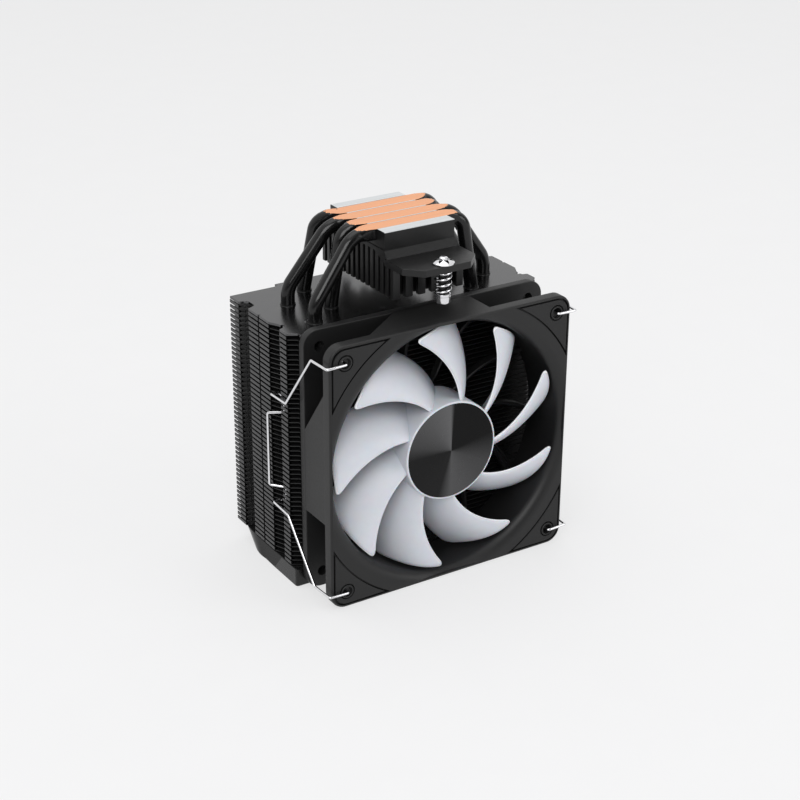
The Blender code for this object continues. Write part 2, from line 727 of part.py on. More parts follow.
def blade_grid(offset):
    """Points of one blade face: rows from root to tip, each from leading to trailing edge."""
    rows = []
    for radius in (21.9, 30.0, 39.0, 48.0, BLADE_TIP_RADIUS):
        inward = BLADE_TIP_RADIUS - radius
        steepening = 2.2 - 0.9 * inward / (BLADE_TIP_RADIUS - HUB_RADIUS)
        lead = -0.94 * inward
        trail = -29.0 - 0.76 * inward - 0.0085 * inward ** 2
        row = []
        for step in range(5):
            share = step / 4
            angle = math.radians(lead + (trail - lead) * share)
            depth = 2.6 + 16.2 * share ** steepening
            edge = 0.45 if step in (0, 4) else 1.0
            row.append((radius * math.cos(angle), radius * math.sin(angle), -depth + offset * edge))
        rows.append(row)
    return rows


def blade_mesh(turn):
    """One closed blade, turned about the axis."""
    near, far = blade_grid(0.85), blade_grid(-0.85)
    work = bmesh.new()
    faces = []
    for rows in (near, far):
        faces.append([[work.verts.new(point) for point in metres(row)] for row in rows])
    front, back = faces
    last_row, last_step = len(front) - 1, len(front[0]) - 1
    for i in range(last_row):
        for j in range(last_step):
            work.faces.new((front[i][j], front[i + 1][j], front[i + 1][j + 1], front[i][j + 1]))
            work.faces.new((back[i][j], back[i][j + 1], back[i + 1][j + 1], back[i + 1][j]))
    border = [(0, j) for j in range(last_step)] + [(i, last_step) for i in range(last_row)]
    border += [(last_row, j) for j in range(last_step, 0, -1)] + [(i, 0) for i in range(last_row, 0, -1)]
    for (i, j), (k, m) in zip(border, border[1:] + border[:1]):
        work.faces.new((front[i][j], front[k][m], back[k][m], back[i][j]))
    bmesh.ops.recalc_face_normals(work, faces=work.faces)
    bmesh.ops.rotate(work, verts=work.verts, matrix=Matrix.Rotation(turn, 3, "Z"))
    mesh = bpy.data.meshes.new("blade")
    work.to_mesh(mesh)
    work.free()
    return mesh


FIRST_BLADE_ANGLE = 109.0


def impeller():
    """Hub cup with nine forward-swept blades and a boss for the shaft."""
    hub = fan_turned("impeller", [(HUB_RADIUS - 1.0, 0.9), (HUB_RADIUS, 1.4), (HUB_RADIUS, 19.6),
                                  (HUB_RADIUS - 1.5, 19.6), (HUB_RADIUS - 1.5, 3.6), (3.6, 3.6), (3.6, 6.0),
                                  (1.8, 6.0), (1.8, 2.0), (HUB_RADIUS - 1.0, 2.0)], FROSTED, 27)
    work = bmesh.new()
    for index in range(BLADES):
        mesh = blade_mesh(math.radians(FIRST_BLADE_ANGLE + 360.0 * index / BLADES))
        work.from_mesh(mesh)
        bpy.data.meshes.remove(mesh)
    mesh = bpy.data.meshes.new("blades")
    work.to_mesh(mesh)
    work.free()
    boolean(hub, on_fan(place(mesh, "blades", None, CUTTERS)), "UNION")


def rotor():
    """What turns with the impeller: hub disc, yoke, magnet ring, shaft and its clip."""
    fan_turned("hub_disc", [(0.0, 0.8), (HUB_RADIUS - 1.3, 0.8), (HUB_RADIUS - 1.3, 1.7), (0.0, 1.7)],
               HUB_METAL, 27, ring=False)
    fan_turned("rotor_yoke", [(20.8, 3.9), (20.8, 18.6), (20.0, 18.6), (20.0, 4.7), (4.2, 4.7), (4.2, 3.9)],
               LAMINATION, 24)
    fan_turned("magnet_ring", [(19.6, 6.0), (19.6, 18.2), (17.8, 18.2), (17.8, 6.0)], FERRITE, 24)
    fan_turned("fan_shaft", [(0.0, 2.3), (1.5, 2.3), (1.5, 20.2), (1.1, 20.2), (1.1, 21.0), (1.5, 21.0),
                             (1.5, 21.6), (0.0, 21.6)], STEEL, 12, ring=False)
    fan_turned("shaft_clip", [(2.6, 20.4), (2.6, 20.8), (1.3, 20.8), (1.3, 20.4)], NYLON, 12)


def stator():
    """The still side of the motor: bearing, laminated core, four coils, board, light ring and cap."""
    fan_turned("bearing_sleeve", [(3.8, 7.2), (3.8, 19.8), (1.6, 19.8), (1.6, 7.2)], BRONZE, 12)
    outline = []
    arc = math.radians(38.0)
    neck = math.asin(2.4 / 14.8)
    for pole in range(4):
        middle = math.radians(45.0) + math.pi / 2 * pole
        inner = math.asin(2.4 / 7.4)
        outline += [(7.4 * math.cos(middle - inner), 7.4 * math.sin(middle - inner)),
                    (14.8 * math.cos(middle - neck), 14.8 * math.sin(middle - neck)),
                    (14.8 * math.cos(middle - arc), 14.8 * math.sin(middle - arc))]
        outline += [(16.9 * math.cos(middle + arc * s / 3), 16.9 * math.sin(middle + arc * s / 3))
                    for s in (-3, -1, 1, 3)]
        outline += [(14.8 * math.cos(middle + arc), 14.8 * math.sin(middle + arc)),
                    (14.8 * math.cos(middle + neck), 14.8 * math.sin(middle + neck)),
                    (7.4 * math.cos(middle + inner), 7.4 * math.sin(middle + inner))]
    fan_plate("stator_core", [outline, circle(5.75, 12)], 8.6, 14.2, LAMINATION)
    ring = [(-4.4, -4.9), (4.4, -4.9), (4.4, 4.9), (-4.4, 4.9)]
    window = [(-2.75, -3.15), (2.75, -3.15), (2.75, 3.15), (-2.75, 3.15)]
    for pole in range(4):
        coil = plate_mesh(f"stator_coil_{pole + 1}", [ring, window], 9.2, 13.5)
        middle = math.radians(45.0) + math.pi / 2 * pole
        lay_down = Matrix.Rotation(math.pi / 2, 4, "Y")
        stand = Matrix.Rotation(middle, 4, "Z") @ lay_down @ Matrix.Rotation(math.pi / 2, 4, "Z")
        coil.transform(Matrix.Translation((0.0, 0.0, -11.4 * MM)) @ stand)
        on_fan(place(coil, f"stator_coil_{pole + 1}", ENAMEL_WIRE))
    fan_plate("motor_pcb", [circle(18.6, 20), circle(5.75, 12)], 19.2, 20.4, CIRCUIT_BOARD)
    fan_plate("led_ring", [circle(21.8, 20), circle(19.25, 20)], 20.2, 21.2, CIRCUIT_BOARD)
    fan_turned("bearing_cap", [(0.0, 22.6), (3.7, 22.6), (3.7, 23.7), (5.9, 23.7), (5.9, 24.6), (0.0, 24.6)],
               BLACK_PLASTIC, 16, ring=False)


def clip_path(side):
    """Centre line of a wire clip on one side (+1 right, -1 left), from hook to hook."""
    hook = FAN_HOLE_PITCH / 2
    half = [(52.5, 2.7, hook), (52.5, -1.4, hook), (61.8, -1.4, hook - 0.3), (62.4, 10.4, hook - 0.2),
            (64.0, 29.5, 26.2), (63.9, 42.8, 25.6), (61.5, 38.5, 24.6), (61.5, 38.5, 17.8),
            (65.4, 43.2, 17.0)]
    whole = half + [(x, y, -z) for x, y, z in reversed(half)]
    return [(side * x, y + FAN_FRONT_Y, z + FAN_AXIS_Z) for x, y, z in whole]


def wire_clips():
    """Two bent spring wires that hold the fan: hooked in its corner holes, snapped into the fins."""
    for side, name in ((-1, "left"), (1, "right")):
        pivot = Vector((side * FAN_HOLE_PITCH / 2, FAN_FRONT_Y, FAN_AXIS_Z))
        path = [Vector(point) - pivot for point in filleted(clip_path(side), 0.85, 1)]
        mesh = tube_mesh(f"wire_clip_{name}", path, CLIP_WIRE_RADIUS, 1)
        place(mesh, f"wire_clip_{name}", STEEL).location = pivot * MM


def cables():
    """Fan and light leads, tucked along the right side, each with its plug."""
    side = STACK_WIDTH / 2
    for name, lift, plug_width in (("fan", 0.0, 10.2), ("led", 7.0, 7.6)):
        path = curved([(57.2 + 4.2, -27.0, -139.0 + lift), (side + 2.6, -21.0, -139.0 + lift),
                       (side + 2.7, -2.0, -143.0 + lift), (side + 2.7, 12.0, -140.0 + lift),
                       (side + 2.7, 20.0, -142.0 + lift)])
        place(tube_mesh(f"{name}_cable", path, 1.3, 1), f"{name}_cable", CABLE_BLACK)
        plug = box_mesh(f"{name}_connector", (side + 0.6, 20.3, -142.0 + lift - 3.0),
                        (side + 5.2, 20.3 + plug_width, -142.0 + lift + 3.0))
        place(plug, f"{name}_connector", BLACK_PLASTIC)


top_fin()
fin_stack()
crown_cover()
heat_pipes()
base_plate()
base_heatsink()
spring_screws()
fan_frame()
corner_pads()
impeller()
rotor()
stator()
wire_clips()
cables()
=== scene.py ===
"""Fine surfaces, finishes and studio for the CPU tower cooler. Sizes are in millimetres."""

import math

import bmesh
import bpy
from mathutils import Matrix, Vector


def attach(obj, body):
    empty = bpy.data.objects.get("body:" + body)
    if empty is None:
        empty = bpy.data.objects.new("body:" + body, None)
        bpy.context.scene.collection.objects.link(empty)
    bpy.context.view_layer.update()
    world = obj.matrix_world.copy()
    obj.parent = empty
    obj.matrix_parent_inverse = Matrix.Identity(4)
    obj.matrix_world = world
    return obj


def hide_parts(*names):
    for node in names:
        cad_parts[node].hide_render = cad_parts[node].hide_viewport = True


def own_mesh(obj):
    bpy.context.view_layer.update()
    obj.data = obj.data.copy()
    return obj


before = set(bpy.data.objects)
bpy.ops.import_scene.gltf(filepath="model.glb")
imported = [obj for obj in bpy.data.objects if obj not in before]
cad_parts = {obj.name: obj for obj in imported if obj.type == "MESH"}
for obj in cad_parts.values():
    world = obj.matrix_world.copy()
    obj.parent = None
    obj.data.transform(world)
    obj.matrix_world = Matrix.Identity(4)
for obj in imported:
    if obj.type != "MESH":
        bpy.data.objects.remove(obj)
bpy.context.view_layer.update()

MM = 0.001
FAN_FRONT_Y = -49.4
FAN_AXIS_Z = -93.0
FAN_HALF = 60.0
FAN_DEPTH = 25.0
FLANGE_DEPTH = 5.5
DUCT_RADIUS = 57.5
DUCT_OUTER_RADIUS = 58.6
HOLE = 52.5
HOLE_RADIUS = 2.3
STAYS = 11
STAY_LEAN = 0.516
SEAT_RADIUS = 20.6
BLADES = 9
BLADE_TIP = 56.4
BLADE_CHORD = 28.0
HUB_RADIUS = 22.6

FIN_COUNT = 49
FIN_THICKNESS = 0.4
FIN_STACK_HEIGHT = 105.25
STACK_BOTTOM_Z = -144.3
TOP_PLATE_Z = -35.9
CROWN_TOP_Z = -144.6
CROWN_HEIGHT = 8.4

PIPES = 4
PIPE_RADIUS = 3.0
STRIP_PITCH = 8.3
LEG_PITCH = 11.6
LEG_INNER_X = 31.9
LEG_OUTER_X = 46.3
STACK_MID_Y = 3.1
STRIP_CENTRE_Z = -2.3

SCREW_Y = 40.0
SPRING_RADIUS = 3.2
SPRING_TURNS = 4.0
SPRING_LOW_Z = -23.15
SPRING_HIGH_Z = -14.65
CLIP_WIRE_RADIUS = 0.58


# ---------- Finishes ----------
def link(tree, source, target):
    tree.links.new(source, target)


def finish(name, tones, rough, metallic=0.0, scale=600.0, stretch=(1.0, 1.0, 1.0), bump=0.1,
           height=0.02, extra=None):
    """A finish whose tone, roughness and relief follow a fine noise fixed to the piece."""
    made = bpy.data.materials.new(name)
    made.use_nodes = True
    tree = made.node_tree
    shader = tree.nodes["Principled BSDF"]
    shader.inputs["Metallic"].default_value = metallic
    for socket, value in (extra or {}).items():
        shader.inputs[socket].default_value = value
    place = tree.nodes.new("ShaderNodeTexCoord")
    mapping = tree.nodes.new("ShaderNodeMapping")
    mapping.inputs["Scale"].default_value = stretch
    noise = tree.nodes.new("ShaderNodeTexNoise")
    noise.inputs["Scale"].default_value = scale
    noise.inputs["Detail"].default_value = 3.0
    tone = tree.nodes.new("ShaderNodeMix")
    tone.data_type = "RGBA"
    tone.inputs[6].default_value = (*tones[0], 1.0)
    tone.inputs[7].default_value = (*tones[1], 1.0)
    spread = tree.nodes.new("ShaderNodeMapRange")
    spread.inputs["From Min"].default_value = 0.3
    spread.inputs["From Max"].default_value = 0.7
    spread.inputs["To Min"].default_value = rough[0]
    spread.inputs["To Max"].default_value = rough[1]
    relief = tree.nodes.new("ShaderNodeBump")
    relief.inputs["Strength"].default_value = bump
    relief.inputs["Distance"].default_value = height * MM
    link(tree, place.outputs["Object"], mapping.inputs["Vector"])
    link(tree, mapping.outputs["Vector"], noise.inputs["Vector"])
    link(tree, noise.outputs["Fac"], tone.inputs[0])
    link(tree, noise.outputs["Fac"], spread.inputs["Value"])
    link(tree, noise.outputs["Fac"], relief.inputs["Height"])
    link(tree, tone.outputs[2], shader.inputs["Base Color"])
    link(tree, spread.outputs["Result"], shader.inputs["Roughness"])
    link(tree, relief.outputs["Normal"], shader.inputs["Normal"])
    return made


def grey(low, high):
    return (low, low, low * 1.02), (high, high, high * 1.02)


MILLED = finish("milled_aluminium_look", ((0.60, 0.62, 0.63), (0.82, 0.84, 0.85)), (0.3, 0.46), 1.0,
                900.0, (0.02, 1.0, 1.0), 0.35)
COPPER = finish("milled_copper_look", ((0.84, 0.4, 0.21), (0.96, 0.52, 0.29)), (0.3, 0.42), 1.0,
                900.0, (0.02, 1.0, 1.0), 0.3)
COAT = finish("black_coat_look", grey(0.006, 0.011), (0.3, 0.4), 0.0, 500.0, bump=0.1)
PIPE_COAT = finish("pipe_coat_look", grey(0.004, 0.008), (0.16, 0.24), 0.0, 260.0, bump=0.08)
FIN_COAT = finish("fin_coat_look", grey(0.009, 0.016), (0.34, 0.46), 0.0, 500.0, bump=0.1)
# A lighter copy of the fin coat for the tabs' outer faces: painted light.
TAB_PAINTED_LIGHT_COAT = finish("tab_painted_light_look", grey(0.03, 0.044), (0.3, 0.42), 0.1, 500.0, bump=0.1)
CROWN_COAT = finish("crown_coat_look", grey(0.008, 0.013), (0.24, 0.32), 0.0, 1400.0, bump=0.15)
# Darker, less reflective black for the crown's rear: painted shade, with a glossier finish.
CROWN_REAR_PAINTED_SHADE = finish("crown_rear_painted_shade_look", grey(0.003, 0.006), (0.14, 0.2), 0.0, 1400.0, bump=0.1,
                    extra={"Specular IOR Level": 0.16})
GLOSS = finish("gloss_plate_look", grey(0.125, 0.14), (0.2, 0.23), 1.0, 2600.0, bump=0.01)
PLASTIC = finish("black_plastic_look", grey(0.009, 0.015), (0.4, 0.52), 0.0, 2600.0, bump=0.4)
RUBBER = finish("black_rubber_look", grey(0.011, 0.018), (0.5, 0.65), 0.0, 2200.0, bump=0.3)
NICKEL = finish("nickel_look", grey(0.72, 0.82), (0.1, 0.2), 1.0, 400.0, bump=0.03)
FROSTED = finish("frosted_look", ((0.63, 0.65, 0.7), (0.67, 0.69, 0.74)), (0.38, 0.5), 0.0, 300.0,
                 bump=0.05, extra={"Subsurface Weight": 0.25, "Subsurface Scale": 0.002})
# Paler frosted plastic for the blades' edges: painted highlight.
RIM_PAINTED_HIGHLIGHT = finish("frosted_edge_painted_highlight_look", ((0.86, 0.88, 0.9), (0.92, 0.93, 0.95)), (0.3, 0.4), 0.0, 300.0, bump=0.05)
SLEEVE = finish("cable_sleeve_look", grey(0.01, 0.03), (0.5, 0.7), 0.0, 1400.0, (1.0, 0.4, 1.0), 0.8, 0.15)
LAMINATION = finish("lamination_look", grey(0.25, 0.42), (0.35, 0.5), 0.9, 1500.0, (0.1, 2.0, 0.1), 0.4)
FERRITE = finish("ferrite_look", grey(0.04, 0.08), (0.55, 0.7), 0.0, 1200.0, bump=0.3)
NYLON = finish("nylon_look", grey(0.7, 0.78), (0.4, 0.5), 0.0, 700.0, bump=0.1)
BRONZE = finish("bronze_look", ((0.38, 0.25, 0.11), (0.52, 0.36, 0.18)), (0.4, 0.55), 0.9, 1800.0, bump=0.4)
WINDING = finish("winding_look", ((0.42, 0.13, 0.05), (0.66, 0.26, 0.11)), (0.28, 0.4), 0.8, 1200.0,
                 (0.2, 3.0, 0.2), 0.8, 0.1)
BOARD = finish("circuit_board_look", ((0.012, 0.08, 0.035), (0.03, 0.15, 0.07)), (0.3, 0.45), 0.0, 500.0)


def spun_disc_painted_sheen():
    """Black metal turned about the fan's axis: a sheen drawn out round it, over light and dark sectors in its
    colour: painted highlight and painted shade.
    """
    made = finish("spun_disc_painted_sheen_look", grey(0.05, 0.07), (0.26, 0.36), 0.85, 500.0, bump=0.02)
    tree = made.node_tree
    shader = tree.nodes["Principled BSDF"]
    shader.inputs["Anisotropic"].default_value = 0.7
    tangent = tree.nodes.new("ShaderNodeTangent")
    tangent.direction_type = "RADIAL"
    tangent.axis = "Y"
    link(tree, tangent.outputs["Tangent"], shader.inputs["Tangent"])
    place = tree.nodes.new("ShaderNodeTexCoord")
    centre = tree.nodes.new("ShaderNodeMapping")
    centre.inputs["Location"].default_value = (0.0, -FAN_FRONT_Y * MM, -FAN_AXIS_Z * MM)
    link(tree, place.outputs["Object"], centre.inputs["Vector"])
    split = tree.nodes.new("ShaderNodeSeparateXYZ")
    link(tree, centre.outputs["Vector"], split.inputs["Vector"])
    turn = tree.nodes.new("ShaderNodeMath")
    turn.operation = "ARCTAN2"
    link(tree, split.outputs["Z"], turn.inputs[0])
    link(tree, split.outputs["X"], turn.inputs[1])
    share = tree.nodes.new("ShaderNodeMapRange")
    share.inputs["From Min"].default_value = -math.pi
    share.inputs["From Max"].default_value = math.pi
    link(tree, turn.outputs["Value"], share.inputs["Value"])
    # Base colour by angle round the axis: painted highlight and painted shade in sectors.
    ramp = tree.nodes.new("ShaderNodeValToRGB")
    painted_sheen_stops = ((0.0, 0.02), (0.2, 0.024), (0.25, 0.11), (0.42, 0.075), (0.5, 0.03), (0.53, 0.013),
             (0.74, 0.013), (0.755, 0.15), (0.95, 0.07), (1.0, 0.02))
    ramp.color_ramp.elements.remove(ramp.color_ramp.elements[1])
    for index, (position, value) in enumerate(painted_sheen_stops):
        stop = ramp.color_ramp.elements[0] if index == 0 else ramp.color_ramp.elements.new(position)
        stop.position = position
        stop.color = (value, value, value * 1.02, 1.0)
    link(tree, share.outputs["Result"], ramp.inputs["Fac"])
    link(tree, ramp.outputs["Color"], shader.inputs["Base Color"])
    return made


SPUN_PAINTED_SHEEN = spun_disc_painted_sheen()


# ---------- Mesh helpers ----------
class Shape:
    """Vertices and faces gathered from several closed solids."""

    def __init__(self):
        self.verts = []
        self.faces = []

    def add(self, verts, faces, move=None):
        base = len(self.verts)
        self.verts += [move(*v) for v in verts] if move else [tuple(v) for v in verts]
        self.faces += [tuple(base + index for index in face) for face in faces]

    def loft(self, rings, move=None, closed=False):
        """A skin over equal rings; its ends are filled, or joined when closed."""
        count = len(rings[0])
        verts = [point for ring in rings for point in ring]
        faces = []
        pairs = list(zip(range(len(rings) - 1), range(1, len(rings))))
        if closed:
            pairs.append((len(rings) - 1, 0))
        for low, high in pairs:
            for index in range(count):
                after = (index + 1) % count
                faces.append((low * count + index, low * count + after,
                              high * count + after, high * count + index))
        if not closed:
            faces.append(tuple(reversed(range(count))))
            faces.append(tuple((len(rings) - 1) * count + index for index in range(count)))
        self.add(verts, faces, move)

    def turned(self, profile, steps, centre=(0.0, 0.0), move=None, closed=True):
        """A profile of (radius, height) turned about local Z."""
        rings = []
        for step in range(steps):
            angle = 2 * math.pi * step / steps
            rings.append([(centre[0] + r * math.cos(angle), centre[1] + r * math.sin(angle), h)
                          for r, h in profile])
        if closed:
            self.loft(rings, move, closed=True)
            return
        count = len(profile)
        verts = [point for ring in rings for point in ring]
        faces = []
        for step in range(steps):
            after = (step + 1) % steps
            for index in range(count - 1):
                faces.append((step * count + index, after * count + index,
                              after * count + index + 1, step * count + index + 1))
        self.add(verts, faces, move)

    def box(self, low, high, bevel=0.2, move=None):
        """A box with small chamfers on all its edges."""
        rings = []
        for z, inset in ((low[2], bevel), (low[2] + bevel, 0.0), (high[2] - bevel, 0.0), (high[2], bevel)):
            x0, x1, y0, y1 = low[0] + inset, high[0] - inset, low[1] + inset, high[1] - inset
            rings.append([(x0 + bevel, y0, z), (x1 - bevel, y0, z), (x1, y0 + bevel, z), (x1, y1 - bevel, z),
                          (x1 - bevel, y1, z), (x0 + bevel, y1, z), (x0, y1 - bevel, z), (x0, y0 + bevel, z)])
        self.loft(rings, move)

    def plate(self, outlines, low, high, bevel=0.0, move=None):
        """A flat plate from closed outlines (edge, then holes), with rounded rims."""
        curve = bpy.data.curves.new("plate", "CURVE")
        curve.dimensions = "2D"
        curve.fill_mode = "BOTH"
        curve.extrude = (high - low) / 2 - bevel
        curve.bevel_depth = bevel
        curve.bevel_resolution = 1
        curve.offset = -bevel
        for outline in outlines:
            spline = curve.splines.new("POLY")
            spline.points.add(len(outline) - 1)
            for point, (x, y) in zip(spline.points, outline):
                point.co = (x, y, 0.0, 1.0)
            spline.use_cyclic_u = True
        holder = bpy.data.objects.new("plate", curve)
        bpy.context.scene.collection.objects.link(holder)
        mesh = bpy.data.meshes.new_from_object(
            holder.evaluated_get(bpy.context.evaluated_depsgraph_get()))
        bpy.data.objects.remove(holder, do_unlink=True)
        bpy.data.curves.remove(curve)
        lift = (low + high) / 2
        self.add([(v.co.x, v.co.y, v.co.z + lift) for v in mesh.vertices],
                 [tuple(p.vertices) for p in mesh.polygons], move)
        bpy.data.meshes.remove(mesh)

    def tube(self, path, radius, sides=16, move=None, round_ends=True):
        """A round wire along a path, its ends domed."""
        points = [Vector(p) for p in path]
        radii = [radius] * len(points)
        if round_ends:
            first = (points[0] - points[1]).normalized()
            last = (points[-1] - points[-2]).normalized()
            dome = [(0.0, 1.0), (0.5, 0.87), (0.87, 0.5), (0.99, 0.12)]
            front = [(points[0] + first * radius * a, radius * b) for a, b in reversed(dome)]
            back = [(points[-1] + last * radius * a, radius * b) for a, b in dome]
            points = [p for p, _ in front] + points[1:-1] + [p for p, _ in back]
            radii = [r for _, r in front] + radii[1:-1] + [r for _, r in back]
        rings = []
        side = None
        for index, point in enumerate(points):
            before = points[max(index - 1, 0)]
            after = points[min(index + 1, len(points) - 1)]
            along = (after - before).normalized()
            if side is None:
                guide = Vector((0.0, 0.0, 1.0)) if abs(along.z) < 0.9 else Vector((1.0, 0.0, 0.0))
                side = along.cross(guide).normalized()
            side = (side - along * side.dot(along)).normalized()
            up = along.cross(side)
            ring = []
            for step in range(sides):
                angle = 2 * math.pi * step / sides
                ring.append(tuple(point + (side * math.cos(angle) + up * math.sin(angle)) * radii[index]))
            rings.append(ring)
        self.loft(rings, move)


def built(shape, name, looks, angle=32.0, pick=None):
    """A shape as a smooth-shaded object."""
    mesh = bpy.data.meshes.new(name)
    mesh.from_pydata([(x * MM, y * MM, z * MM) for x, y, z in shape.verts], [], shape.faces)
    work = bmesh.new()
    work.from_mesh(mesh)
    bmesh.ops.remove_doubles(work, verts=work.verts, dist=0.000001)
    bmesh.ops.recalc_face_normals(work, faces=work.faces)
    work.to_mesh(mesh)
    work.free()
    for look in looks:
        mesh.materials.append(look)
    if pick:
        for polygon in mesh.polygons:
            polygon.material_index = pick(polygon.center / MM, polygon.normal)
    mesh.shade_smooth()
    mesh.set_sharp_from_angle(angle=math.radians(angle))
    made = bpy.data.objects.new(name, mesh)
    bpy.context.scene.collection.objects.link(made)
    return made


def show(made, nodes, body="cooler", even=True):
    """Let a piece stand for CAD nodes and move with their body. Flat faces stay evenly lit when even."""
    if even:
        made.modifiers.new("even", "WEIGHTED_NORMAL").keep_sharp = True
    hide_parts(*nodes)
    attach(made, body)
    return made


def cut(target, shape, operation="DIFFERENCE"):
    """Apply one boolean with another shape."""
    tool = built(shape, "tool", [])
    step = target.modifiers.new("cut", "BOOLEAN")
    step.operation = operation
    step.object = tool
    result = bpy.data.meshes.new_from_object(
        target.evaluated_get(bpy.context.evaluated_depsgraph_get()))
    target.modifiers.clear()
    target.data = result
    bpy.data.objects.remove(tool, do_unlink=True)


def refinished(made, look, angle=30.0):
    """One finish and fresh smooth shading after cuts."""
    made.data.materials.clear()
    made.data.materials.append(look)
    made.data.shade_smooth()
    made.data.set_sharp_from_angle(angle=math.radians(angle))


def circle(radius, sides, centre=(0.0, 0.0), turn=0.0):
    angles = [turn + 2 * math.pi * index / sides for index in range(sides)]
    return [(centre[0] + radius * math.cos(a), centre[1] + radius * math.sin(a)) for a in angles]


def softened(outline, radius, steps=4):
    """A closed outline with each corner turned into a small arc."""
    soft = []
    count = len(outline)
    for index, corner in enumerate(outline):
        here = Vector(corner)
        back = Vector(outline[index - 1]) - here
        ahead = Vector(outline[(index + 1) % count]) - here
        reach = min(radius, back.length * 0.45, ahead.length * 0.45)
        start = here + back.normalized() * reach
        end = here + ahead.normalized() * reach
        for step in range(steps + 1):
            t = step / steps
            soft.append(tuple(start * (1 - t) ** 2 + here * 2 * t * (1 - t) + end * t ** 2))
    return soft


def filleted(points, radius, steps):
    """A path with each inner corner replaced by an arc."""
    path = [Vector(points[0])]
    for before, corner, after in zip(points[:-2], points[1:-1], points[2:]):
        corner = Vector(corner)
        back = (Vector(before) - corner).normalized()
        ahead = (Vector(after) - corner).normalized()
        half = back.angle(ahead) / 2
        reach = radius / math.tan(half)
        start = corner + back * reach
        end = corner + ahead * reach
        centre = corner + (back + ahead).normalized() * (radius / math.sin(half))
        for step in range(steps + 1):
            chord = start.lerp(end, step / steps) - centre
            path.append(centre + chord.normalized() * radius)
    path.append(Vector(points[-1]))
    return path


def to_fan(x, y, z):
    """From the fan's drawing (right, up, towards the viewer) to the cooler's frame."""
    return (x, FAN_FRONT_Y - z, FAN_AXIS_Z + y)


def across_x(x, y, z):
    """From a drawing of (Y, Z) with its thickness along local Z."""
    return (z, x, y)


# ---------- Fins and crown ----------
def leg_spots():
    """(pipe number, x, y) of the eight legs. Outer and inner legs alternate."""
    spots = []
    for pipe in range(PIPES):
        y = STACK_MID_Y + (pipe - 1.5) * LEG_PITCH
        left, right = (LEG_OUTER_X, LEG_INNER_X) if pipe % 2 == 0 else (LEG_INNER_X, LEG_OUTER_X)
        spots.append((pipe, -left, y))
        spots.append((pipe, right, y))
    return spots


def fin_outline(edge, notch):
    """A fin's outline: straight front and rear edges, stepped sides with a shallow and a deep recess."""
    half = [(58.8, -24.0), (58.8, -21.7), (edge, -19.4), (edge, -13.6), (60.5, -13.0),
            (60.5, -11.8), (59.0, -11.7), (59.0, -10.1), (60.5, -10.0), (60.5, -8.9),
            (edge, -4.4), (edge, 4.0), (edge - notch, 4.2), (edge - notch, 5.0), (edge, 5.2),
            (edge, 13.7), (61.0, 14.3), (58.9, 15.6), (58.9, 20.8), (60.4, 21.9), (edge, 22.6),
            (edge, 30.7), (39.6, 30.7), (39.6, 33.3)]
    return softened(half + [(-x, y) for x, y in reversed(half)], 0.5, 3)


TAB_SPANS = ((-19.3, -13.7), (-4.3, 4.1), (5.1, 13.6), (22.7, 30.6))


def fins():
    """Forty-nine folded fins. Each has bent tabs along its sides that reach up to the next fin."""
    pitch = FIN_STACK_HEIGHT / (FIN_COUNT - 1)
    single = Shape()
    holes = [circle(3.03, 24, (x, y)) for _, x, y in leg_spots()]
    single.plate([fin_outline(62.35, 0.9), *holes], 0.0, FIN_THICKNESS)
    bend = [(61.2, 0.0), (62.3, 0.0), (62.62, 0.08), (62.83, 0.3), (62.9, 0.62), (62.9, 1.74),
            (62.5, 1.74), (62.5, 0.66), (62.42, 0.5), (62.2, FIN_THICKNESS), (61.2, FIN_THICKNESS)]
    for side in (-1, 1):
        for start, end in TAB_SPANS:
            single.loft([[(side * x, y, z) for x, z in bend] for y in (start, end)])
        for y, x in ((14.9, 60.2), (4.6, 61.8), (21.2, 60.2)):
            low, high = sorted((side * x, side * (x + 0.75)))
            single.box((low, y - 0.28, 0.35), (high, y + 0.28, 1.25), 0.12)
    stack = Shape()
    for index in range(FIN_COUNT):
        lift = STACK_BOTTOM_Z + index * pitch
        stack.add(single.verts, single.faces, lambda x, y, z, lift=lift: (x, y, z + lift))
    # Outer faces of the side tabs take the lighter coat: painted light on the tabs.
    made = built(stack, "fin_stack_look", [FIN_COAT, TAB_PAINTED_LIGHT_COAT], 40.0,
                 lambda centre, normal: 1 if abs(centre.x) > 62.55 and abs(normal.z) < 0.7 else 0)
    show(made, ["fin_stack"])


def top_fin():
    """The glossy end fin, with a collar round each leg and six small rivets."""
    plate = Shape()
    holes = [circle(3.06, 40, (x, y)) for _, x, y in leg_spots()]
    plate.plate([fin_outline(62.9, 0.9), *holes], TOP_PLATE_Z - 1.0, TOP_PLATE_Z, 0.15)
    for _, x, y in leg_spots():
        plate.turned([(3.03, TOP_PLATE_Z - 0.9), (3.5, TOP_PLATE_Z - 0.4), (3.45, TOP_PLATE_Z + 0.05),
                      (3.3, TOP_PLATE_Z + 0.2), (3.25, TOP_PLATE_Z + 0.75), (3.03, TOP_PLATE_Z + 0.8)],
                     40, (x, y))
    for x, y in ((-14.0, -15.7), (32.4, -14.6), (-49.6, -12.5), (14.0, 21.9), (-32.4, 20.8), (49.6, 18.7)):
        plate.turned([(0.9, TOP_PLATE_Z - 0.2), (0.9, TOP_PLATE_Z + 0.05), (0.6, TOP_PLATE_Z + 0.3),
                      (0.25, TOP_PLATE_Z + 0.4), (0.02, TOP_PLATE_Z + 0.42), (0.02, TOP_PLATE_Z - 0.2)],
                     16, (x, y))
    made = built(plate, "top_fin_look", [GLOSS, COAT], 32.0,
                 lambda centre, normal: 1 if centre.z > TOP_PLATE_Z + 0.12 and abs(centre.x) > 26.0
                 and min(math.dist((centre.x, centre.y), (x, y)) for _, x, y in leg_spots()) < 4.0 else 0)
    show(made, ["top_fin"])


def crown_crease(share):
    """Y of the slanted crease on the cap's flank, from its upper to its lower edge."""
    return -10.8 + 7.0 * share


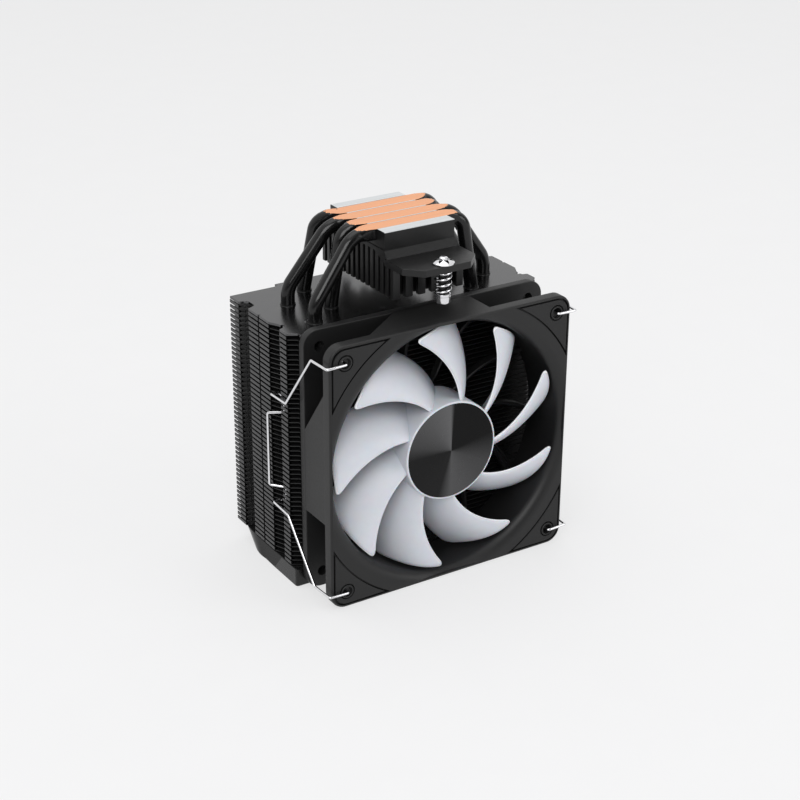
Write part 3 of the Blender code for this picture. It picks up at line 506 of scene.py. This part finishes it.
def crown():
    """End cap: flush flanks in front, a slanted crease, then a swept and curved rear."""
    levels = []
    for share in (0.0, 0.02, 0.25, 0.5, 0.75, 0.96, 1.0):
        z = CROWN_TOP_Z - CROWN_HEIGHT * share
        soft = 0.35 if share in (0.0, 1.0) else 0.0
        crease = crown_crease(share)
        half = [(61.9 - soft, -24.0 + soft), (62.6 - soft, -23.7 + soft), (62.9 - soft, -23.0 + soft),
                (62.9 - soft, crease), (62.7 - soft, 4.6)]
        end_x, end_y = 58.0 - 3.5 * share, 30.5 - 1.7 * share
        for step in range(1, 9):
            t = step / 8
            bow = 2 * t * (1 - t)
            x = 62.7 * (1 - t) ** 2 + (63.6 + 0.9 * share) * bow + end_x * t ** 2
            y = 4.6 * (1 - t) ** 2 + (27.0 - 11.5 * share) * bow + end_y * t ** 2
            half.append((x - soft, y))
        half += [(30.5, 32.4 - 4.0 * share - soft), (30.0, 32.5 - 4.0 * share - soft)]
        levels.append([(x, y, z) for x, y in half + [(-x, y) for x, y in reversed(half)]])
    cap = Shape()
    cap.loft(levels)
    made = built(cap, "crown_look", [CROWN_COAT], 14.0)
    inner = [(57.9, -21.6), (57.9, 5.0), (49.6, 24.2), (30.0, 26.2)]
    hollow = Shape()
    hollow.plate([softened(inner + [(-x, y) for x, y in reversed(inner)], 2.0)], -151.2, -142.0)
    cut(made, hollow)
    foot = Shape()
    slot_outline = softened([(40.0, -12.0), (40.0, 10.0), (-40.0, 10.0), (-40.0, -12.0)], 3.0)
    foot.plate([slot_outline], -154.0, -152.4)
    cut(made, foot)
    refinished(made, CROWN_COAT, 14.0)
    # Flank faces behind the crease take the darker black: painted shade.
    made.data.materials.append(CROWN_REAR_PAINTED_SHADE)
    for polygon in made.data.polygons:
        centre = polygon.center / MM
        crease = crown_crease((CROWN_TOP_Z - centre.z) / CROWN_HEIGHT)
        if centre.y > crease + 0.2 and abs(polygon.normal.z) < 0.6:
            polygon.material_index = 1
    show(made, ["crown_cover"])


# ---------- Pipes and base ----------
def leg_path(strip_y, leg_x, leg_y):
    """Centre line from the middle of a strip, round its bend and down one leg, for positive X."""
    bend_out = 19.0
    if leg_x > 40.0:
        corners = [(0.0, STRIP_CENTRE_Z), (27.5, STRIP_CENTRE_Z), (leg_x, -28.5), (leg_x, -148.2)]
        radius = 11.0
    else:
        corners = [(0.0, STRIP_CENTRE_Z), (leg_x - 5.0, STRIP_CENTRE_Z), (leg_x, -34.5), (leg_x, -148.2)]
        radius = 7.2
    flat = filleted([(x, 0.0, z) for x, z in corners], radius, 16)
    straight = [x for x in (6.0, 12.0, 16.0, *(17.0 + 0.5 * k for k in range(10))) if x < flat[1].x - 0.1]
    flat[1:1] = [Vector((x, 0.0, STRIP_CENTRE_Z)) for x in straight]
    path = []
    for point in flat:
        moved = min(max((point.x - bend_out) / (leg_x - bend_out), 0.0), 1.0)
        path.append(Vector((point.x, strip_y + (leg_y - strip_y) * moved, point.z)))
    return path


def pipe_ring(centre, side, up, pressed, shrink=1.0):
    """A pipe's section: round, or squared and widened where pressed, and milled flat at the contact face."""
    power = 2.0 + 8.0 * pressed
    ring = []
    sides = 40
    for index in range(sides):
        angle = 2 * math.pi * (index + 0.5) / sides
        cosine, sine = math.cos(angle), math.sin(angle)
        reach = (abs(cosine) ** power + abs(sine) ** power) ** (-1 / power) * shrink
        point = (centre + side * ((PIPE_RADIUS + 0.86 * pressed) * reach * cosine)
                 + up * ((PIPE_RADIUS - 0.3 * pressed) * reach * sine))
        ring.append((point.x, point.y, min(point.z, 0.0)))
    return ring


def half_pipe(path):
    """Rings from the middle of a strip to the domed end of one leg."""
    side = Vector((0.0, 1.0, 0.0))
    rings = []
    for index, centre in enumerate(path):
        before, after = path[max(index - 1, 0)], path[min(index + 1, len(path) - 1)]
        along = (after - before).normalized()
        side = (side - along * side.dot(along)).normalized()
        up = along.cross(side) if path[-1].x > 0 else side.cross(along)
        pressed = min(max((24.0 - abs(centre.x)) / 6.0, 0.0), 1.0)
        if index < len(path) - 1:
            rings.append(pipe_ring(centre, side, up, pressed))
            continue
        for lift, size in ((3.0, 1.0), (1.4, 0.86), (0.5, 0.6), (0.0, 0.3)):
            rings.append(pipe_ring(centre - along * lift, side, up, 0.0, size))
    return rings


def heat_pipes():
    for pipe in range(PIPES):
        strip_y = (pipe - 1.5) * STRIP_PITCH
        halves = [leg_path(strip_y, abs(x), y) for number, x, y in leg_spots() if number == pipe]
        left = half_pipe([Vector((-p.x, p.y, p.z)) for p in halves[0]])
        right = half_pipe(halves[1])
        shape = Shape()
        shape.loft(list(reversed(left)) + right[1:])
        made = built(shape, f"heat_pipe_{pipe + 1}_look", [PIPE_COAT, COPPER], 50.0,
                     lambda centre, normal: 1 if normal.z > 0.98 and centre.z > -0.05 else 0)
        show(made, [f"heat_pipe_{pipe + 1}"], even=False)


def base_plate():
    half_x, half_y, thick = 17.3, 22.15, 7.6
    floor, groove = -5.4, 3.79
    profile = [(-half_y, -thick), (half_y, -thick), (half_y, -0.25), (half_y - 0.25, 0.0)]
    for pipe in reversed(range(PIPES)):
        centre = (pipe - 1.5) * STRIP_PITCH
        right = [(groove, 0.0), (groove, floor + 2.6), (groove - 0.5, floor + 1.0), (groove - 1.5, floor)]
        profile += [(centre + y, z) for y, z in right]
        profile += [(centre - y, z) for y, z in reversed(right)]
    profile += [(-half_y + 0.25, 0.0), (-half_y, -0.25)]
    block = Shape()
    block.plate([profile], -half_x, half_x, move=across_x)
    made = built(block, "base_plate_look", [MILLED, COAT], 25.0,
                 lambda centre, normal: 0 if normal.z > 0.3 and centre.z > -0.3 else 1)
    show(made, ["base_plate"])


def slab_underside(y):
    """Z of the slab's lower face, which slopes down towards the tabs."""
    slope = min(max((abs(y) - 14.0) / 10.0, 0.0), 1.0)
    return -9.6 - slope * 4.45


def base_heatsink():
    half_x, half_y = 17.55, 29.2
    right = [(14.0, slab_underside(14.0)), (24.0, slab_underside(24.0)), (half_y, slab_underside(half_y)),
             (half_y, -12.5), (25.8, -12.4), (22.3, -7.9), (22.3, -7.6)]
    profile = right + [(-y, z) for y, z in reversed(right)]
    block = Shape()
    block.plate([profile], -half_x, half_x, 0.15, across_x)
    for row in range(15):
        y = (row - 7) * 4.0
        for column in range(6):
            x = (column - 2.5) * 6.3
            block.box((x - 1.78, y - 1.18, -27.4), (x + 1.78, y + 1.18, slab_underside(y) + 0.8), 0.22)
    for side in (-1, 1):
        outline = [(-18.0, side * 22.9), (18.0, side * 22.9), (18.0, side * 37.0), (11.2, side * 43.8),
                   (-11.2, side * 43.8), (-18.0, side * 37.0)]
        block.plate([softened(outline, 0.5), circle(2.35, 40, (0.0, side * SCREW_Y))], -14.0, -11.0, 0.2)
    show(built(block, "base_heatsink_look", [COAT], 30.0), ["base_heatsink"])


def spring_screw(end, spot):
    """Turned screw: slotted tip, dark shank inside the spring, grooved head with a cross recess."""
    screw = Shape()
    profile = [(0.02, -7.95), (1.2, -7.95), (1.5, -8.1), (1.9, -8.5), (1.9, -9.3), (1.5, -9.55),
               (1.5, -10.9), (1.95, -11.0), (1.95, -23.8), (3.1, -23.8), (3.3, -24.0), (3.3, -24.5),
               (3.05, -24.65), (3.05, -24.95), (3.3, -25.1), (3.3, -27.4), (3.2, -27.85), (2.9, -28.12),
               (2.4, -28.2), (0.02, -28.2)]
    screw.turned(profile, 48, spot)
    made = built(screw, f"spring_screw_{end}_look", [NICKEL])
    for half_x, half_y in ((1.9, 0.4), (0.4, 1.9)):
        recess = Shape()
        recess.box((-half_x, spot[1] - half_y, -29.0), (half_x, spot[1] + half_y, -26.9), 0.1)
        cut(made, recess)
    for half_x, half_y in ((1.0, 0.22), (0.22, 1.0)):
        tip_slot = Shape()
        tip_slot.box((-half_x, spot[1] - half_y, -8.7), (half_x, spot[1] + half_y, -7.5), 0.05)
        cut(made, tip_slot)
    refinished(made, NICKEL)
    made.data.materials.append(COAT)
    for polygon in made.data.polygons:
        if -23.7 < polygon.center.z / MM < -10.0:
            polygon.material_index = 1
    show(made, [f"spring_screw_{end}"], f"screw_{end}")


def toothed_washer(end, spot):
    """Domed push-on washer whose inner edge is cut into six teeth."""
    sections, radial, teeth = 126, 9, 6
    inner_radius, outer_radius = 1.68, 4.7
    rings = []
    for step in range(sections):
        angle = 2 * math.pi * step / sections
        phase = (step * teeth / sections) % 1.0
        gap = max(0.0, 1.0 - abs(phase - 0.5) / 0.42)
        inner = inner_radius + 2.5 * gap
        ring = []
        for lift in (0.0, 1.0):
            span = range(radial) if lift == 0.0 else range(radial - 1, -1, -1)
            for k in span:
                r = inner + (outer_radius - inner) * k / (radial - 1)
                dome = 1.25 * (1.0 - ((r - inner_radius) / (outer_radius - inner_radius)) ** 1.8)
                ring.append((r * math.cos(angle), spot[1] + r * math.sin(angle), -10.75 + dome + 0.4 * lift))
        rings.append(ring)
    washer = Shape()
    washer.loft(rings, closed=True)
    show(built(washer, f"screw_retainer_{end}_look", [NICKEL], 40.0), [f"screw_retainer_{end}"],
         f"screw_travel_{end}")


def coil_spring(end, spot):
    """Spring with closed end turns."""
    count = 144
    coil = []
    for index in range(count + 1):
        share = index / count
        climb = min(max((share - 0.1) / 0.8, 0.0), 1.0)
        angle = 2 * math.pi * SPRING_TURNS * share
        coil.append((SPRING_RADIUS * math.cos(angle), spot[1] + SPRING_RADIUS * math.sin(angle),
                     SPRING_LOW_Z + (SPRING_HIGH_Z - SPRING_LOW_Z) * climb))
    spring = Shape()
    spring.tube(coil, 0.52, 14)
    made = built(spring, f"screw_spring_{end}_look", [NICKEL], 60.0)
    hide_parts(f"screw_spring_{end}")
    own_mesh(made)
    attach(made, "cooler")


def screws():
    for side, end in ((-1, "front"), (1, "rear")):
        spot = (0.0, side * SCREW_Y)
        spring_screw(end, spot)
        toothed_washer(end, spot)
        coil_spring(end, spot)


# ---------- Fan frame ----------
def square_reach(angle, half, corner):
    """Distance from the axis to a rounded square's edge in one direction."""
    u, v = sorted((abs(math.cos(angle)), abs(math.sin(angle))), reverse=True)
    centre = half - corner
    straight = half / u
    if straight * v <= centre:
        return straight
    along = centre * (u + v)
    return along + math.sqrt(max(along * along - 2 * centre * centre + corner * corner, 0.0))


def frame_angles():
    angles = []
    for quarter in range(4):
        offset = 0.0
        while offset < 89.99:
            angles.append(math.radians(quarter * 90.0 + offset))
            offset += 0.6 if 40.7 < offset < 49.3 else 1.0
    return angles


def duct_panel(upper, lower):
    """Flush panel beside the duct at the middle of the left side; its upper end narrows to the rear."""
    rings = []
    for depth, share in ((5.3, 0.0), (21.2, 1.0)):
        high = upper + (16.7 - upper) * share
        low = -lower
        ring = [(-59.85, high), (-59.85, low)]
        for step in range(15):
            t = low + (high - low) * step / 14
            ring.append((-math.sqrt(DUCT_OUTER_RADIUS ** 2 - t * t), t))
        rings.append([(x, y, -depth) for x, y in ring])
    return rings


def fan_frame():
    """One closed skin: rounded mouth, duct, two square flanges and the round waist between them."""
    angles = frame_angles()

    def ring(reach, depth):
        return [(reach(a) * math.cos(a), reach(a) * math.sin(a), -depth) for a in angles]

    def square(inset):
        return lambda a: square_reach(a, FAN_HALF - inset, 7.0 - inset)

    def mouth(radius):
        return lambda a: min(radius, 59.0 / max(abs(math.cos(a)), 0.001), 58.8 / max(abs(math.sin(a)), 0.001))

    rings = []
    for step in range(13):
        t = 1.0 - math.cos(math.pi / 2 * step / 12)
        rings.append(ring(mouth(DUCT_RADIUS + 5.3 * (1 - math.sqrt(max(1 - (1 - t) ** 2, 0.0)))), 4.4 * t))
    for depth, widening in ((8.0, 0.0), (14.0, 0.0), (20.0, 0.0), (23.5, 0.1), (24.6, 0.4), (FAN_DEPTH, 0.9)):
        rings.append(ring(lambda a, radius=DUCT_RADIUS + widening: radius, depth))
    for inset, depth in ((0.6, FAN_DEPTH), (0.2, 24.85), (0.0, 24.4), (0.0, 21.5), (0.15, 21.15), (0.5, 21.0)):
        rings.append(ring(square(inset), depth))
    for step in range(13):
        depth = 20.99 - 15.48 * step / 12
        rings.append(ring(lambda a: 59.5, depth))
    for inset, depth in ((0.5, FLANGE_DEPTH), (0.15, 5.35), (0.0, 5.0), (0.0, 0.9), (0.12, 0.45),
                         (0.4, 0.14), (0.9, 0.0)):
        rings.append(ring(square(inset), depth))
    skin = Shape()
    skin.loft(rings, to_fan, closed=True)
    made = built(skin, "fan_frame_look", [PLASTIC], 30.0)

    corners = [(sx, sy) for sx in (-1, 1) for sy in (-1, 1)]
    holes = Shape()
    for sx, sy in corners:
        holes.turned([(0.01, 2.0), (HOLE_RADIUS, 2.0), (HOLE_RADIUS, -27.0), (0.01, -27.0)], 40,
                     (sx * HOLE, sy * HOLE), to_fan)
    cut(made, holes)
    pockets = Shape()
    for near, far in ((-1.0, 1.4), (23.6, 26.0)):
        for sx, sy in corners:
            outline = [(sx * x, sy * y) for x, y in pad_outline(0.65)]
            pockets.plate([outline], -far, -near, move=to_fan)
    cut(made, pockets)
    refinished(made, PLASTIC)
    show(made, ["fan_frame"])


def stay_angle(middle, r):
    """Direction of a stay's centre line at one radius: it leans back by STAY_LEAN degrees a millimetre."""
    return middle + STAY_LEAN * (48.0 - r)


def stay_sections(index):
    """A stay with a rounded front edge, a little wider at its outer end."""
    middle = 99.5 - 360.0 / STAYS * index
    sections = []
    for step in range(13):
        r = SEAT_RADIUS + 37.6 * step / 12
        angle = math.radians(stay_angle(middle, r) + 1.4 * math.sin(math.pi * step / 12))
        along = Vector((math.cos(angle), math.sin(angle), 0.0))
        lead = math.radians(-STAY_LEAN) * r
        run = (along + Vector((-along.y, along.x, 0.0)) * lead).normalized()
        side = Vector((-run.y, run.x, 0.0))
        front = 22.3 - 1.9 * min(max((r - 22.4) / 5.0, 0.0), 1.0)
        half = 0.75 + 0.5 * step / 12
        sections.append([tuple(along * r + side * (half * s) + Vector((0.0, 0.0, -d))) for s, d in
                         ((-1.0, 24.3), (1.0, 24.3), (1.0, front + 0.5), (0.55, front + 0.08),
                          (-0.2, front + 0.3), (-1.0, front + 1.3))])
    return sections


def corner_rib(z):
    """Triangular rib behind the front flange, beside the duct."""
    inner = -math.sqrt(DUCT_OUTER_RADIUS ** 2 - z * z)
    half = 0.7
    return [[(x, z + lift, -depth) for x, lift in ((outer, -half), (inner, -half), (inner, half), (outer, half))]
            for outer, depth in ((-59.4, 5.3), (-59.4, 5.9), (inner - 0.8, 16.0))]


def fan_stays():
    """Stays, motor seat with its bearing tube, duct panels, ribs, and the leads along one stay."""
    stays = Shape()
    for index in range(STAYS):
        stays.loft(stay_sections(index), to_fan)
    stays.turned([(5.4, -7.0), (5.4, -21.6), (5.8, -22.0), (21.7, -22.0), (22.0, -22.3), (22.0, -24.1),
                  (21.7, -24.4), (6.3, -24.4), (6.3, -23.4), (4.1, -23.4), (4.1, -7.0)], 96, move=to_fan)
    across = Matrix(((0.0, -1.0, 0.0), (-1.0, 0.0, 0.0), (0.0, 0.0, 1.0)))
    half_turn = Matrix.Rotation(math.pi, 3, "Z")
    for turn in (Matrix.Identity(3), across, half_turn, half_turn @ across):
        panel = [[tuple(turn @ Vector(p)) for p in ring] for ring in duct_panel(38.0, 21.0)]
        stays.loft(panel, to_fan)
        for z in (-30.0, -46.0):
            rib = [[tuple(turn @ Vector(p)) for p in ring] for ring in corner_rib(z)]
            stays.loft(rib, to_fan)
    for lift in (-1.5, -0.2, 1.1):
        wire = []
        for step in range(12):
            r = 21.6 + 36.2 * step / 11
            angle = math.radians(stay_angle(-31.4, r)) + (lift + 2.6) / r
            wire.append((r * math.cos(angle), r * math.sin(angle), -21.4))
        stays.tube(wire, 0.55, 10, to_fan)
    show(built(stays, "fan_frame_stays_look", [PLASTIC], 30.0), ["fan_frame"])


def pad_outline(grow=0.0):
    """A corner pad's outline: rounded outer corner, and an arc on the duct's side."""
    edge = 58.3 + grow
    arc = 67.2 - grow
    reach = 5.8
    start = math.asin(min(edge / arc, 1.0))
    first, last = math.pi / 2 - start, start
    corner = [(edge - reach + reach * math.cos(a), edge - reach + reach * math.sin(a))
              for a in (math.pi / 2 * step / 8 for step in range(9))]
    sweep = [(arc * math.cos(a), arc * math.sin(a))
             for a in (last + (first - last) * step / 16 for step in range(17))]
    return softened(corner + sweep, 0.6, 2)


def pads():
    for face in ("front", "rear"):
        near, far = (-0.2, 1.3) if face == "front" else (23.7, 25.2)
        lift = 1.0 if face == "front" else -1.0
        flat = -near if face == "front" else -far
        for corner, (sx, sy) in {"upper_right": (1, 1), "upper_left": (-1, 1), "lower_left": (-1, -1),
                                 "lower_right": (1, -1)}.items():
            pad = Shape()
            outline = [(sx * x, sy * y) for x, y in pad_outline()]
            spot = (sx * HOLE, sy * HOLE)
            pad.plate([outline, circle(3.55, 40, spot)], -far, -near, 0.25, to_fan)
            pad.turned([(2.3, flat - 1.4 * lift), (2.3, flat + 0.1 * lift), (2.45, flat + 0.25 * lift),
                        (2.85, flat + 0.25 * lift), (3.05, flat + 0.05 * lift), (3.05, flat - 1.4 * lift)],
                       40, spot, to_fan)
            name = f"corner_pad_{face}_{corner}"
            show(built(pad, name + "_look", [RUBBER]), [name])


# ---------- Impeller and hub ----------
def blade_point(r, share):
    """Middle of the blade's skin at one radius, from its leading (0) to its trailing edge (1)."""
    inward = BLADE_TIP - r
    lead = -0.94 * inward
    trail = -29.0 - 0.76 * inward - 0.0085 * inward ** 2
    angle = math.radians(lead + (trail - lead) * share)
    steepening = 2.2 - 0.9 * inward / 33.8
    return Vector((r * math.cos(angle), r * math.sin(angle), -(2.6 + 16.2 * share ** steepening)))


def blade_normal(r, share):
    along_chord = blade_point(r, min(share + 0.01, 1.0)) - blade_point(r, max(share - 0.01, 0.0))
    along_radius = blade_point(r + 0.2, share) - blade_point(r - 0.2, share)
    normal = along_radius.cross(along_chord).normalized()
    return -normal if normal.z < 0 else normal


def tip_drop(from_lead, from_trail):
    """How far the tip is rounded back near its two corners."""
    drop = 0.0
    for distance, corner in ((from_lead, 3.4), (from_trail, 2.6)):
        if distance < corner:
            drop += corner - math.sqrt(max(corner ** 2 - (corner - distance) ** 2, 0.0))
    return drop


def blade_grids(turn, rows, columns):
    """Points of the blade's front and rear skins. They draw together at its three free edges."""
    root = 21.9
    near, far = [], []
    for i in range(rows + 1):
        for j in range(columns + 1):
            share = 0.5 - 0.5 * math.cos(math.pi * j / columns)
            from_lead, from_trail = share * BLADE_CHORD, (1 - share) * BLADE_CHORD
            tip = BLADE_TIP - tip_drop(from_lead, from_trail)
            r = root + (tip - root) * (1 - (1 - i / rows) ** 1.25)
            here, normal = blade_point(r, share), blade_normal(r, share)
            edge = min(from_lead, from_trail, tip - r)
            half = 0.16 + 0.62 * math.sqrt(min(max(edge / 1.6, 0.0), 1.0))
            near.append(tuple(turn @ (here + normal * half)))
            far.append(tuple(turn @ (here - normal * half)))
    return near, far


def blade_shape(turn, rows, columns):
    near, far = blade_grids(turn, rows, columns)
    wide = columns + 1
    shift = len(near)
    faces = []
    for i in range(rows):
        for j in range(columns):
            a, b, c, d = i * wide + j, (i + 1) * wide + j, (i + 1) * wide + j + 1, i * wide + j + 1
            faces.append((a, b, c, d))
            faces.append((shift + a, shift + d, shift + c, shift + b))
    border = list(range(columns)) + [i * wide + columns for i in range(rows)]
    border += [rows * wide + j for j in range(columns, 0, -1)] + [i * wide for i in range(rows, 0, -1)]
    for a, b in zip(border, border[1:] + border[:1]):
        faces.append((a, b, shift + b, shift + a))
    shape = Shape()
    shape.add(near + far, faces, to_fan)
    return shape


def blades():
    """Nine swept blades in the frosted finish, with a paler rim along their free edges: painted highlight."""
    rows, columns = 26, 30
    for blade in range(BLADES):
        turn = Matrix.Rotation(math.radians(109.0 + 360.0 / BLADES * blade), 3, "Z")
        shape = blade_shape(turn, rows, columns)
        made = built(shape, f"impeller_blade_{blade + 1}_look", [FROSTED, RIM_PAINTED_HIGHLIGHT], 70.0)
        # Faces along the tip, leading and trailing edges take the paler rim: painted highlight.
        for polygon in made.data.polygons:
            i, j = divmod(polygon.index // 2, columns)
            if i >= rows - 1 or j < 2 or j >= columns - 2:
                polygon.material_index = 1
        show(made, ["impeller"], "rotor", even=False)


def hub():
    """Hub cup with its lip, and the spun metal disc that sits in it."""
    cup = Shape()
    cup.turned([(21.75, -0.8), (22.2, -0.85), (22.5, -1.1), (HUB_RADIUS, -1.6), (HUB_RADIUS, -19.3),
                (22.3, -19.6), (21.3, -19.6), (21.1, -19.3), (21.1, -3.9), (20.8, -3.6), (3.6, -3.6),
                (3.6, -6.0), (1.8, -6.0), (1.8, -2.0), (21.7, -2.0)], 120, move=to_fan)
    show(built(cup, "impeller_hub_look", [FROSTED], 32.0), ["impeller"], "rotor")
    disc = Shape()
    disc.turned([(0.02, -0.8), (21.3, -0.8), (21.55, -0.9), (21.62, -1.1), (21.62, -1.7), (0.02, -1.7)],
                120, move=to_fan)
    show(built(disc, "hub_disc_look", [SPUN_PAINTED_SHEEN]), ["hub_disc"], "rotor")


# ---------- Wires ----------
def clips():
    """Bent wires from the fan's front holes round to a slot in the stack's side tabs."""
    half = [(52.5, 2.7, HOLE), (52.5, -1.4, HOLE), (61.8, -1.4, HOLE - 0.3), (62.4, 10.4, HOLE - 0.2),
            (64.0, 29.5, 26.2), (63.9, 42.8, 25.6), (60.0, 42.2, 25.3), (59.8, 38.5, 24.0),
            (59.8, 38.5, 17.8), (65.4, 43.2, 17.0)]
    whole = half + [(x, y, -z) for x, y, z in reversed(half)]
    for side, name in ((-1, "left"), (1, "right")):
        path = filleted([(side * x, y + FAN_FRONT_Y, z + FAN_AXIS_Z) for x, y, z in whole], 0.9, 6)
        wire = Shape()
        wire.tube(path, CLIP_WIRE_RADIUS, 14)
        show(built(wire, f"wire_clip_{name}_look", [NICKEL], 60.0), [f"wire_clip_{name}"],
             f"clip_{name}", even=False)


def curved(points, steps=10):
    """A smooth path through its points."""
    knots = [Vector(p) for p in points]
    knots = [knots[0] * 2 - knots[1], *knots, knots[-1] * 2 - knots[-2]]
    path = []
    for a, b, c, d in zip(knots[:-3], knots[1:-2], knots[2:-1], knots[3:]):
        for step in range(steps):
            t = step / steps
            path.append(0.5 * (2 * b + (c - a) * t + (2 * a - 5 * b + 4 * c - d) * t * t
                               + (3 * b - a - 3 * c + d) * t ** 3))
    path.append(knots[-2])
    return path


def cables():
    """Two leads of four twisted strands, dressed along the stack's lower edge, each with a keyed plug."""
    for name, lift, width in (("fan", 0.0, 10.2), ("led", 7.0, 7.6)):
        path = curved([(61.4, -27.0, -139.0 + lift), (65.5, -21.0, -139.0 + lift),
                       (65.6, -2.0, -143.0 + lift), (65.6, 12.0, -140.0 + lift), (65.6, 20.0, -142.0 + lift)])
        lead = Shape()
        for strand in range(4):
            turned = []
            for index, point in enumerate(path):
                before, after = path[max(index - 1, 0)], path[min(index + 1, len(path) - 1)]
                along = (after - before).normalized()
                side = along.cross(Vector((0.0, 0.0, 1.0))).normalized()
                up = side.cross(along)
                angle = math.pi / 2 * strand + index * 0.28
                turned.append(point + (side * math.cos(angle) + up * math.sin(angle)) * 0.62)
            lead.tube(turned, 0.64, 12)
        show(built(lead, f"{name}_cable_look", [SLEEVE], 60.0), [f"{name}_cable"])
        plug = Shape()
        z = -142.0 + lift
        plug.box((63.7, 20.3, z - 2.8), (67.9, 20.3 + width, z + 2.8), 0.3)
        plug.box((67.5, 21.0, z - 1.2), (68.3, 20.3 + width - 1.4, z + 1.2), 0.2)
        for rail in (-1.9, 1.9):
            plug.box((63.45, 20.9, z + rail - 0.35), (64.0, 20.3 + width - 0.8, z + rail + 0.35), 0.1)
        made = built(plug, f"{name}_connector_look", [PLASTIC], 30.0)
        show(made, [f"{name}_connector"])


# ---------- Pieces that keep their CAD shape ----------
def inner_finishes():
    looks = {"rotor_yoke": LAMINATION, "magnet_ring": FERRITE, "fan_shaft": NICKEL, "shaft_clip": NYLON,
             "bearing_sleeve": BRONZE, "stator_core": LAMINATION, "motor_pcb": BOARD, "led_ring": BOARD,
             "bearing_cap": PLASTIC}
    for pole in range(4):
        looks[f"stator_coil_{pole + 1}"] = WINDING
    for node, look in looks.items():
        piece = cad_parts[node]
        piece.data.materials.clear()
        piece.data.materials.append(look)


# ---------- Studio ----------
def studio():
    scene = bpy.context.scene
    world = bpy.data.worlds.new("studio")
    world.use_nodes = True
    tree = world.node_tree
    place = tree.nodes.new("ShaderNodeTexCoord")
    facing = tree.nodes.new("ShaderNodeVectorMath")
    facing.operation = "DOT_PRODUCT"
    facing.inputs[1].default_value = (-0.1, 0.8, 0.6)
    spread = tree.nodes.new("ShaderNodeMapRange")
    spread.interpolation_type = "SMOOTHSTEP"
    spread.inputs["From Min"].default_value = -0.5
    spread.inputs["From Max"].default_value = 0.6
    spread.inputs["To Min"].default_value = 0.07
    spread.inputs["To Max"].default_value = 0.95
    rays = tree.nodes.new("ShaderNodeLightPath")
    seen = tree.nodes.new("ShaderNodeMix")
    seen.data_type = "FLOAT"
    seen.inputs[3].default_value = 0.92
    link(tree, place.outputs["Generated"], facing.inputs[0])
    link(tree, facing.outputs["Value"], spread.inputs["Value"])
    link(tree, rays.outputs["Is Camera Ray"], seen.inputs[0])
    link(tree, spread.outputs["Result"], seen.inputs[2])
    link(tree, seen.outputs[0], tree.nodes["Background"].inputs["Color"])
    scene.world = world
    floor = bpy.data.meshes.new("floor")
    corners = [(x, y, -0.1531) for x, y in ((-6, -6), (6, -6), (6, 6), (-6, 6))]
    floor.from_pydata(corners, [], [(0, 1, 2, 3)])
    ground = bpy.data.objects.new("floor", floor)
    floor.materials.append(finish("floor_look", grey(0.2, 0.21), (0.8, 0.9), 0.0, 40.0, bump=0.0,
                                  extra={"Emission Color": (0.92, 0.92, 0.92, 1.0),
                                         "Emission Strength": 0.72, "Specular IOR Level": 0.0}))
    scene.collection.objects.link(ground)
    for name, spot, aim, size, power in (
            ("key", (-0.9, -1.1, 0.9), (0.0, 0.0, -0.08), 1.0, 13.0),
            ("fill", (1.0, -1.1, 0.5), (0.0, 0.0, -0.09), 1.0, 8.0),
            ("top", (0.0, 0.2, 1.3), (0.0, 0.0, -0.06), 1.2, 5.0)):
        light = bpy.data.lights.new(name, "AREA")
        light.shape = "SQUARE"
        light.size = size
        light.energy = power
        lamp = bpy.data.objects.new(name, light)
        lamp.location = spot
        lamp.rotation_euler = (Vector(aim) - Vector(spot)).to_track_quat("-Z", "Y").to_euler()
        scene.collection.objects.link(lamp)
    camera = bpy.data.cameras.new("camera")
    camera.lens = 78.02
    camera.sensor_width = 36.0
    camera.clip_end = 20.0
    eye = bpy.data.objects.new("camera", camera)
    azimuth, elevation, roll = math.radians(-32.44), math.radians(24.49), math.radians(0.36)
    away = Vector((math.sin(azimuth) * math.cos(elevation), -math.cos(azimuth) * math.cos(elevation),
                   math.sin(elevation)))
    level = Vector((0.0, 0.0, 1.0)).cross(away).normalized()
    upright = away.cross(level)
    right = level * math.cos(roll) + upright * math.sin(roll)
    pose = Matrix((right, away.cross(right), away)).transposed().to_4x4()
    pose.translation = (-0.3745, -0.5967, 0.2328)
    eye.matrix_world = pose
    scene.collection.objects.link(eye)
    scene.camera = eye
    scene.view_settings.view_transform = "Standard"
    scene.view_settings.gamma = 0.9


fins()
top_fin()
crown()
heat_pipes()
base_plate()
base_heatsink()
screws()
fan_frame()
fan_stays()
pads()
hub()
blades()
clips()
cables()
inner_finishes()
studio()
